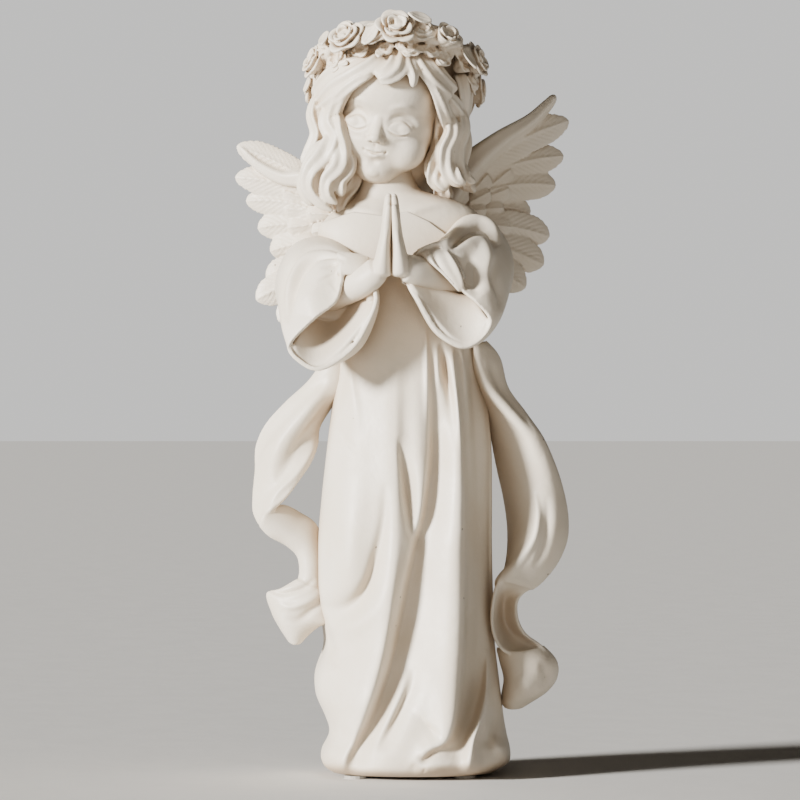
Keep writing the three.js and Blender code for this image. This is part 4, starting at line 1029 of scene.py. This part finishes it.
def hair_mesh():
    """The cap of hair and every lock, melted together."""
    parts = [ball((-3, 17, 345), (34.5, 32.5, 32.5)), ball((-3, 21, 322), (32, 28, 34)),
             ball((-3, 31, 303), (23, 20, 24))]
    parts.append(ball((-8, -14, 360), (14, 9, 6)))
    parts += [lock(rows) for rows in FACE_LOCKS]
    parts += [loose_lock(rows) for rows in LONG_LOCKS]
    parts += [nape_lock(i) for i in range(14)]
    count = 25
    for i in range(count):
        bearing = math.radians(-8 + 196 * i / (count - 1))
        parts.append(crown_lock(bearing, i))
    for i, bearing in enumerate((-28, -44, -62, -80, -98, -116, -134, -152)):
        rows = []
        for k in range(6):
            dip = math.radians(8 + 11 * k)
            angle = math.radians(bearing) + 0.05 * math.sin(3 * k + i)
            spot = HAIR_CENTRE + HAIR_RADII * np.array(
                [math.sin(dip) * math.cos(angle), math.sin(dip) * math.sin(angle), math.cos(dip)]
            )
            rows.append((*spot, 1.6 + 0.85 * k, 1.2 + 0.3 * k))
        parts.append(loose_lock(rows, 4, 0.2, 0.6))
    return fused(parts, 0.68, 1)


piece("hair", hair_mesh(), RESIN, "resin", "hair_cap", "tress_right", "tress_left", "tress_back")

# ---- Wings ----


def feather(rows, barbs):
    """A feather through rows of place and width: a flat vane with a raised quill and slanting barbs."""
    fine = smooth(rows, FINE)
    ahead = np.gradient(fine[:, :3], axis=0)
    ahead /= np.linalg.norm(ahead, axis=1)[:, None]
    wide = np.cross(ahead, (0, -1, 0))
    wide /= np.linalg.norm(wide, axis=1)[:, None]
    thick = np.cross(wide, ahead)

    def shape(u, v):
        angle = 2 * math.pi * u
        i, _, here = read_at(fine, v)
        end = np.sqrt(np.maximum(1 - (1 - np.clip(np.minimum(v / 0.1, (1 - v) / 0.2), 0, 1)) ** 2, 0))
        across = np.cos(angle)
        rise = np.sin(angle)
        vane = 1.5 * rise * (1 - 0.5 * across**2)
        quill = 0.8 * np.exp(-((across / 0.11) ** 2)) * np.sign(rise)
        combed = 0.2 * np.sin(2 * math.pi * (barbs * v - 3.4 * np.abs(across))) * np.sign(rise) * np.abs(rise)
        a = (end * across * here[:, 3])[:, None] * wide[i]
        cupped = 0.9 * (1 - across**2) * np.abs(end) - 0.9 * np.abs(end)
        b = (end * (vane + quill + combed) + cupped)[:, None] * thick[i]
        return here[:, :3] + a + b

    return mesh_of(sheet(shape, 64, 150))


# Each feather: its tip seen from the front, how far back it lies, its half width and how its middle bows.
WING_RIGHT = [
    ((-83.5, 317), 50, 5.4, 3), ((-84.5, 301), 52, 5.8, 5), ((-79, 289), 53, 5.8, 5),
    ((-73, 275), 52, 6, 4),
    ((-66.5, 263), 50, 6, 3), ((-68.5, 249), 47, 5.6, 2), ((-73.5, 238), 44, 6, 2),
    ((-62, 227), 41, 5.6, 1),
    ((-50, 224), 38, 5.4, 0),
]
WING_LEFT = [
    ((86.5, 330), 52, 6.2, -4), ((84, 312), 54, 6.2, -5), ((80, 297), 54, 6.4, -5),
    ((67, 283), 53, 5.6, -4),
    ((76.5, 270.5), 49, 6.4, -3), ((73.5, 256), 46, 6.6, -2), ((64, 244), 43, 6.2, -1),
    ((51, 234), 39, 5.8, 0),
]


def wing_mesh(side, root, feathers, arm, scales):
    """A wing: flight feathers fanned from a root, a thick leading arm and rows of small coverts."""
    parts = []
    root = np.array(root, float)
    for i, ((x, z), back, width, bow) in enumerate(feathers):
        tip = np.array([x, back, z])
        start = root + np.array([0, 1.2 * (i % 2), -5.5 * i])
        run = tip - start
        lift = np.array([-run[2], 0, run[0]]) / np.linalg.norm(run) * -side
        rows = []
        for t, share in ((0, 0.8), (0.25, 1.15), (0.5, 1.35), (0.75, 1.35), (1, 1.05)):
            bowed = start + run * t - lift * abs(bow) * math.sin(math.pi * t)
            rows.append((*bowed, width * share))
        parts.append(feather(rows, max(6, int(np.linalg.norm(run) / 3.2))))
    for (x, z), back, width, length, slope in scales:
        direction = np.array([math.cos(math.radians(slope)) * side, 0, math.sin(math.radians(slope))])
        base = np.array([x, back, z]) - direction * length
        rows = [(*(base + direction * length * t + np.array([0, 2.5 * t * t, 0])), width * w)
                for t, w in ((0, 0.6), (0.35, 0.9), (0.7, 1), (1, 0.85))]
        parts.append(feather(rows, 4))
    parts.append(tube(arm, (0, 1, 0), 32, 90, 0.06, (5, 0.06, 2.0)))
    return fused(parts, 0.5, 2)


ARM_LEFT = [(8, 22, 247, 6, 5), (11, 26, 266, 8, 7), (22, 32, 286, 8, 7), (34, 38, 304, 8, 7.5),
            (50, 43, 318.5, 6.5, 5.5),
            (66, 47, 329, 5.4, 4), (75, 49, 337.5, 4.4, 3), (79.5, 50, 343, 3, 1.8)]
ARM_RIGHT = [(-9, 22, 247, 6, 5), (-12, 26, 263, 8, 7), (-24, 33, 282, 8, 7), (-38, 37, 294, 7, 6.4),
             (-49, 41, 299.5, 6, 5.4),
             (-60, 44, 300.5, 4.6, 4), (-72, 47, 307, 3.6, 3), (-82, 49, 316.5, 2.4, 1.6)]
SCALES_LEFT = [
    ((57, 305), 44, 5.6, 16, 40), ((56, 295), 43, 5.6, 16, 22), ((53, 285), 42, 5.6, 16, 6),
    ((57, 275), 41, 5.6, 16, -6),
    ((55, 264), 39, 5.6, 16, -18), ((50, 253), 36, 5.4, 15, -30), ((45, 302), 39, 5, 13, 48),
    ((46, 293), 38, 5, 13, 28),
    ((44, 284), 37, 5, 13, 8), ((44, 274), 35, 5, 13, -8), ((42, 263), 33, 5, 13, -22),
    ((34, 293), 33, 4.6, 11, 40),
    ((34, 284), 32, 4.6, 11, 15), ((32, 274), 31, 4.6, 11, -5),
]
SCALES_RIGHT = [
    ((-60, 303), 42, 5, 14, 30), ((-60, 294), 44, 5, 14, 20), ((-59, 285), 44, 5, 14, 8),
    ((-57, 275), 43, 5.2, 14, -6),
    ((-54, 265), 41, 5.2, 14, -18), ((-52, 255), 38, 5.2, 13, -28), ((-49, 300), 38, 4.8, 12, 35),
    ((-48, 291), 39, 4.8, 12, 18),
    ((-47, 282), 38, 4.8, 12, 2), ((-45, 272), 36, 4.8, 12, -14), ((-43, 262), 34, 4.8, 12, -24),
    ((-37, 288), 34, 4.4, 10, 15),
    ((-36, 279), 33, 4.4, 10, -5),
]
piece("wing_left", wing_mesh(1, (30, 38, 297), WING_LEFT, ARM_LEFT, SCALES_LEFT), RESIN, "resin",
      "wing_left")
piece("wing_right", wing_mesh(-1, (-32, 38, 287), WING_RIGHT, ARM_RIGHT, SCALES_RIGHT), RESIN, "resin",
      "wing_right")

# ---- Sashes ----

SASH_THICKNESS = 3.4
# Rows of three places across the band: its one edge, its middle and its other edge.
SASH_RIGHT = [
    [(-38, -4, 207, -33, -8, 207, -26, -8, 207), (-46, 0, 196, -38, -7, 194, -29, -6, 192),
     (-57, 4, 186, -46, -8, 183, -34, 0, 184), (-67, 7, 175, -53, -7, 172, -40, 2, 174),
     (-72, 8, 164, -58, -6, 162, -41, 0, 165), (-72.5, 7, 152, -60, -5, 152, -44, -6, 156),
     (-73.5, 4, 140, -63, -5, 142, -50, -9, 147), (-73.3, 0, 131, -66, -6, 134, -57, -10, 138),
     (-70, -5, 124, -68, -8, 127, -65, -10, 131)],
    [(-70.5, -6, 124.5, -69, -9, 129, -66, -8, 133), (-65, -6, 119, -62, -8, 126, -58, -1, 134.5),
     (-56.5, -4, 114.5, -54, -7, 121, -50, 3, 130.5), (-51, -3, 109, -47, -7, 115, -42, 3, 124.5),
     (-49.8, -3, 102, -44, -8, 105, -37, 2, 112), (-51, -4, 97, -44, -8, 95, -36, 0, 98),
     (-54, -4, 93.5, -45, -8, 90, -36, -3, 88)],
    [(-50.5, -6, 98, -44, -9, 95, -36, -4, 93), (-59, -5, 93, -49, -10, 90, -36, -6, 84),
     (-66.5, -1, 90.5, -54, -8, 83, -36, -7, 76.5), (-64, 2, 81.5, -55, -8, 77, -41, -5, 73.5),
     (-60, 2, 74, -54, -6, 71, -46, -3, 69.5), (-54, 1, 65.5, -52.5, -2, 65, -50.5, -1, 65)],
]
SASH_LEFT = [
    [(36, -12, 216, 39, -12, 216, 43, -4, 217), (38, -10, 204, 40, -12, 205, 50, -3, 208),
     (41, -2, 192, 44.5, -12, 192.5, 54, -4, 193), (43.5, 4, 180, 54, -11, 181, 63, -5, 180),
     (46, 9, 166, 63, -10, 170, 71.5, -3, 166.6), (49, 12, 151, 67, -8, 155, 78, -1, 152.7),
     (52, 13, 138, 68.5, -7, 142, 82, 0, 140), (54, 12, 124, 69, -9, 131, 84, 0, 128),
     (54, 8, 112, 67.5, -12, 120, 83.5, -1, 117), (52.5, 3, 102, 62, -13, 108, 79, -3, 106),
     (50, -2, 97, 55, -12, 101, 72, -5, 97), (47.5, -6, 93, 51, -11, 96, 66, -6, 92)],
    [(50.5, -12, 101, 59, -13, 99, 69, -6, 95), (47, -13, 91, 52, 0, 90.5, 59.5, -5, 88),
     (45.5, -13, 79, 51, 3, 79, 58.5, -6, 79),
     (47, -13, 69, 54, 2, 71, 62, -8, 71), (52, -13, 62, 59, -3, 64, 69, -9, 66),
     (61, -13, 60, 66, -8, 61.5, 73, -9, 62.5)],
    [(48, -4, 64, 60, -13, 62.5, 71, -5, 65), (50, -4, 56, 64, -15, 56, 78, -4, 57),
     (52, -4, 48, 63, -15, 48, 78.5, -3, 49),
     (51, -4, 41, 61, -12, 41, 74, -4, 42.5), (51, -4, 36.5, 57, -9, 36.5, 66, -4, 37),
     (53, -4, 33.4, 56, -6, 33.2, 60, -3, 33.4)],
]
SASH_RIGHT_FOLDS = [
    [(-36, 199, 0, 2, 3), (-48, 189, -1.5, 3, 3.4), (-62, 176, -2.2, 3.4, 4), (-70, 164, -1.4, 3, 3),
     (-72, 154, 0, 2, 2)],
    [(-34, 197, 0, 2, 2), (-46, 182, 1.6, 3, 3), (-58, 167, 2.0, 4, 4), (-64, 152, 1.2, 4, 4),
     (-66, 142, 0, 3, 3)],
    [(-33, 190, 0, 2, 2), (-40, 178, -1.6, 2.4, 3), (-49, 166, -2.0, 3, 3), (-57, 154, -1.2, 3, 3),
     (-62, 146, 0, 2, 2)],
    [(-42, 170, 0, 2, 2), (-45, 160, 1.2, 2.2, 1.6), (-52, 149, 1.6, 2.4, 1.6), (-61, 140, 1.4, 2.4, 1.6),
     (-67, 130, 0, 2, 2)],
    [(-66, 92, 0, 1, 1), (-58, 91, -1.4, 2, 1.2), (-48, 94, -1.6, 2, 1.4), (-42, 98, 0, 1.4, 1.4)],
    [(-62, 86, 0, 2, 2), (-54, 84, 1.6, 2, 2), (-44, 88, 1.2, 2, 2), (-38, 92, 0, 2, 2)],
    [(-58, 78, 0, 2, 2), (-50, 78, -1.4, 2, 2), (-42, 84, -1.4, 2, 2), (-38, 88, 0, 2, 2)],
]
SASH_LEFT_FOLDS = [
    [(38, 208, 0, 1.6, 1.6), (43, 194, 1.6, 2.4, 2.4), (53, 182, 1.8, 2.6, 2.6), (63, 171, 1.6, 3, 3),
     (70, 158, 0, 3, 3)],
    [(44, 207, 0, 1.6, 1.6), (50, 194, -1.4, 2, 2.4), (60, 181, -1.4, 2, 2.4), (68, 169, 0, 2, 2)],
    [(67, 142, 0, 1.2, 1.2), (69, 130, 1.6, 2, 1.4), (67, 118, 2.2, 2.4, 1.6), (60, 107, 2.0, 2.4, 1.8),
     (53, 99, 0.6, 2, 2)],
    [(73, 140, 0, 2, 2), (73.5, 126, -1.6, 2.4, 2.4), (71, 112, -1.4, 2.4, 2.4), (66, 103, 0, 2, 2)],
    [(58, 50, 0, 2, 2), (62, 46, 1.2, 4, 4), (64, 40, 0, 3, 3)],
    [(69, 58, 0, 2, 2), (73, 50, -1.2, 2.4, 2.4), (70, 43, 0, 2, 2)],
]


def sash_mesh(bands, folds):
    """A flying sash of overlapping bands, with its folds."""
    mesh = fused([ribbon(rows, SASH_THICKNESS) for rows in bands], 0.55, 5)
    return pressed(mesh, folds, (0.0, 0.5))


piece("sash_right", sash_mesh(SASH_RIGHT, SASH_RIGHT_FOLDS), RESIN, "resin", "sash_right")
piece("sash_left", sash_mesh(SASH_LEFT, SASH_LEFT_FOLDS), RESIN, "resin", "sash_left")

# ---- Wreath ----


def petal(bearing, span, foot, rim, low, high, curl):
    """A cupped petal: its bearing and half span, its radii, its heights, and how far its rim rolls out."""
    rows = []
    for t, wide in ((0, 0.55), (0.3, 0.85), (0.6, 1.0), (0.85, 0.85), (1, 0.5)):
        radius = foot + (rim - foot) * t**0.8 + curl * max(0, t - 0.75) * 2
        height = low + (high - low) * math.sin(min(t * 1.15, 1.15) * math.pi / 2)
        row = []
        for side, reach in ((-1, 0.94), (0, 1.04), (1, 0.94)):
            angle = bearing + side * span * wide
            row += [radius * reach * math.cos(angle), radius * reach * math.sin(angle), height]
        rows.append(row)
    return ribbon(rows, 1.15, 8, 24, 0.12)


def rose_parts(size, opened, seed):
    """A rose facing up, its heart rolled and its petals in whorls: a bud at 0 and a full flower at 1."""
    twist = 2.4 * seed
    coil = []
    for a in np.linspace(0, 8, 9):
        coil.append((1.5 * math.cos(a + twist), 1.5 * math.sin(a + twist), 3.4 + 0.28 * a, 0.85, 1.8))
    parts = [ball((0, 0, 1.0), (3.6, 3.6, 3.4)), tube(coil, (0, 0, 1), 12, 50, 0.1)]
    whorls = [(3, 0.95, 2.6, 3.9, 1.5, 6.6, 0.6),
              (4, 0.85, 3.4, 5.6 + 0.6 * opened, 0.6, 5.8, 1.6 * opened)]
    if opened > 0.3:
        whorls.append((5, 0.74, 3.8, 7.2 + 0.7 * opened, -0.4, 4.0, 2.6 * opened))
    for k, (count, span, foot, rim, low, high, curl) in enumerate(whorls):
        for i in range(count):
            bearing = 2 * math.pi * i / count + 0.7 * k + twist + 0.15 * math.sin(3 * i + seed)
            parts.append(petal(bearing, span, foot, rim + 0.4 * math.sin(2 * i + seed), low, high, curl))
    for part in parts:
        part.transform(Matrix.Diagonal((size, size, size, 1)))
    return parts


def seated(parts, place, facing, spin=0.0):
    """Parts stood at a place, their axis turned to face outwards."""
    turn = Vector(facing).to_track_quat("Z", "Y").to_matrix().to_4x4() @ Matrix.Rotation(spin, 4, "Z")
    for part in parts:
        part.transform(Matrix.Translation(place) @ turn)
    return parts


def in_sculpt(point):
    """A point of the frame, in the sculpted measures."""
    return TO_FRAME.inverted() @ point


def middle_of(node):
    """The middle of a node's box, in the sculpted measures."""
    low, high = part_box(node)
    return in_sculpt((low + high) / 2)


def facing_at(place):
    """The way a flower faces at a place on the wreath: away from the middle of the head."""
    return (Vector(place) - Vector((-3, 9, 338))).normalized()


# How far each of the ten roses is open.
ROSE_OPEN = [0.6, 0.3, 0.8, 0.4, 0.9, 0.5, 0.8, 1.0, 0.2, 0.7]


def rose_mesh(i):
    """One of the ten roses, seated where its node is."""
    place = middle_of(f"rose_{i + 1}")
    facing = facing_at(place)
    opened = ROSE_OPEN[i]
    size = 1.08 + 0.1 * opened
    return fused(seated(rose_parts(size, opened, i + 1), place - facing * 3.2, facing), 0.4, 1)


def leaf_parts(length, width, bend):
    """A pointed leaf lying along Y with a vein, its tip bent up."""
    rows = []
    for t, wide in ((0, 0.3), (0.2, 0.8), (0.45, 1.0), (0.75, 0.7), (1, 0.06)):
        y, z = length * (t - 0.35), bend * t * t
        rows.append((-width * wide, y, z + 1.0 * wide, 0, y, z, width * wide, y, z + 1.0 * wide))
    vein = [(0, length * (t - 0.35), bend * t * t + 0.45, 0.5, 0.5) for t in (0, 0.3, 0.6, 0.9)]
    return [ribbon(rows, 1.3, 9, 30, 0.06), tube(vein, (1, 0, 0), 10, 24)]


def leaf_mesh(i):
    """One of the ten leaves, seated where its node is."""
    place = middle_of(f"leaf_{i + 1}")
    facing = facing_at(place)
    spin = 1.9 * i + 0.6
    return fused(seated(leaf_parts(13, 3.6, 2.5), place, facing, spin), 0.36, 1)


for number in range(10):
    piece(f"rose_{number + 1}", rose_mesh(number), RESIN, "resin", f"rose_{number + 1}")
    piece(f"leaf_{number + 1}", leaf_mesh(number), RESIN, "resin", f"leaf_{number + 1}")

# More of the wreath's flowers: bearing in degrees, height above its ring, size and how far each is open.
BLOSSOMS = [
    (196, -6, 0.8, 0.2), (207, 3, 0.8, 0.6), (220, -8, 0.85, 0.6), (232, 2, 0.8, 0.5),
    (243, -9, 0.75, 0.3), (254, -2, 0.85, 0.7),
    (262, -10, 0.7, 0.2), (279, -9, 0.75, 0.6), (289, 0, 0.8, 0.9), (296, -9, 0.72, 0.1),
    (306, -11, 0.85, 0.1),
    (318, 1, 0.7, 0.4), (329, -8, 0.8, 0.3), (342, 2, 0.75, 0.5), (352, -8, 0.8, 0.6), (22, 4, 0.7, 0.2),
    (58, -5, 0.75, 0.5),
    (95, 4, 0.7, 0.3), (128, -5, 0.75, 0.6), (160, 4, 0.7, 0.2),
]


def ring_point(angle, rise=0.0, out=0.0):
    """A point on the wreath's tilted ring, high at the front."""
    low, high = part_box("wreath_band")
    low, high = in_sculpt(low), in_sculpt(high)
    middle, half = (low + high) / 2, (high - low) / 2
    reach_x, reach_y = half.x - 3.6 + out, half.y - 3.6 + out
    return Vector((
        middle.x + reach_x * math.cos(angle),
        middle.y + reach_y * math.sin(angle),
        middle.z - (half.z - 3.4) * math.sin(angle) + rise,
    ))


def wreath_mesh():
    """The wreath's twined stems, its ribbons and the small flowers and leaves between the roses."""
    parts = []
    for strand in range(3):
        rows = []
        for k in range(73):
            angle = 2 * math.pi * k / 72
            swirl = 11 * angle + 2.1 * strand
            rows.append((*ring_point(angle, 2.4 * math.sin(swirl), 2.2 * math.cos(swirl)), 2.1, 2.1))
        parts.append(tube(rows, (0, 0, 1), 14, 420, 0.002))
    for i, (bearing, rise, size, opened) in enumerate(BLOSSOMS):
        place = ring_point(math.radians(bearing), rise, -1.0 - 0.25 * abs(rise))
        facing = facing_at(place)
        parts += seated(rose_parts(size, opened, 11 + i), place, facing)
    for i in range(34):
        bearing = math.radians(10.6 * i + 4)
        place = ring_point(bearing, 7 * math.sin(2.3 * i) - 3, -0.5)
        parts += seated(leaf_parts(9 + 2 * math.sin(i), 2.4, 3), place, facing_at(place), 1.7 * i)
    return fused(parts, 0.55, 1)


piece("wreath_band", wreath_mesh(), RESIN, "resin", "wreath_band")

# ---- Fittings carried over from the frame ----

FITTINGS = {"foot_pad": RUBBER, "base_plug": STOPPER, "neck_pin": STEEL, "wing_pin": STEEL,
            "sash_pin": STEEL}
for name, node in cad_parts.items():
    for start, material in FITTINGS.items():
        if name.startswith(start):
            node.data.materials.clear()
            node.data.materials.append(material)

# ---- Camera, light and floor ----


KEY_PLACE, KEY_STRENGTH, KEY_SOFTNESS = (-1480, -1000, 660), 11.5, 11
FILL_PLACE, FILL_SIZE, FILL_WATTS = (-100, -1900, 500), 1.0, 4
MIDDLE = (0, 0, 190)  # what the lights are aimed at
CAMERA_PLACE, CAMERA_AIM = (0, -2200, 187), (0, 0, 187)


def target(point):
    """A sculpted point in the frame."""
    return TO_FRAME @ Vector(point)


def aim(obj, point):
    """Turns a camera or a light to look at a sculpted point."""
    direction = target(point) - obj.location
    obj.rotation_euler = direction.to_track_quat("-Z", "Y").to_euler()


def camera():
    """A long lens, level with the middle of the figure."""
    lens = bpy.data.cameras.new("camera")
    lens.lens, lens.sensor_width = 198, 36
    lens.clip_end = 20
    obj = bpy.data.objects.new("camera", lens)
    bpy.context.scene.collection.objects.link(obj)
    obj.location = target(CAMERA_PLACE)
    aim(obj, CAMERA_AIM)
    bpy.context.scene.camera = obj


def softbox(name, place, at, size, energy, colour):
    """A round soft light, its size across in metres."""
    lamp = bpy.data.lights.new(name, "AREA")
    lamp.shape, lamp.size, lamp.energy, lamp.color = "DISK", size, energy, colour
    obj = bpy.data.objects.new(name, lamp)
    bpy.context.scene.collection.objects.link(obj)
    obj.location = target(place)
    aim(obj, at)


def sunlight(name, place, at, strength, softness, colour):
    """A far-off soft key light, softness being the angle it fills in degrees."""
    lamp = bpy.data.lights.new(name, "SUN")
    lamp.energy, lamp.angle, lamp.color = strength, math.radians(softness), colour
    obj = bpy.data.objects.new(name, lamp)
    bpy.context.scene.collection.objects.link(obj)
    obj.location = target(place)
    aim(obj, at)


def floor():
    """A wide plain floor."""
    bm = bmesh.new()
    bmesh.ops.create_grid(bm, x_segments=2, y_segments=2, size=40)
    mesh = mesh_of(bm, "floor")
    obj = bpy.data.objects.new("floor", mesh)
    bpy.context.scene.collection.objects.link(obj)
    mesh.materials.append(FLOOR)


def surroundings():
    """A pale studio behind the figure, and a faint even light from all round."""
    world = bpy.data.worlds.new("studio")
    world.use_nodes = True
    bpy.context.scene.world = world
    tree = world.node_tree
    faint = tree.nodes["Background"]
    faint.inputs["Color"].default_value = (1.0, 0.90, 0.78, 1)
    faint.inputs["Strength"].default_value = 0.03
    pale = tree.nodes.new("ShaderNodeBackground")
    pale.inputs["Color"].default_value = (0.93, 0.925, 0.91, 1)
    pale.inputs["Strength"].default_value = 0.88
    seen = tree.nodes.new("ShaderNodeMixShader")
    tree.links.new(tree.nodes.new("ShaderNodeLightPath").outputs["Is Camera Ray"], seen.inputs["Fac"])
    tree.links.new(faint.outputs["Background"], seen.inputs[1])
    tree.links.new(pale.outputs["Background"], seen.inputs[2])
    tree.links.new(seen.outputs["Shader"], tree.nodes["World Output"].inputs["Surface"])


camera()
sunlight("key", KEY_PLACE, MIDDLE, KEY_STRENGTH, KEY_SOFTNESS, (1.0, 0.975, 0.935))
softbox("fill", FILL_PLACE, MIDDLE, FILL_SIZE, FILL_WATTS, (1.0, 0.88, 0.74))
floor()
surroundings()
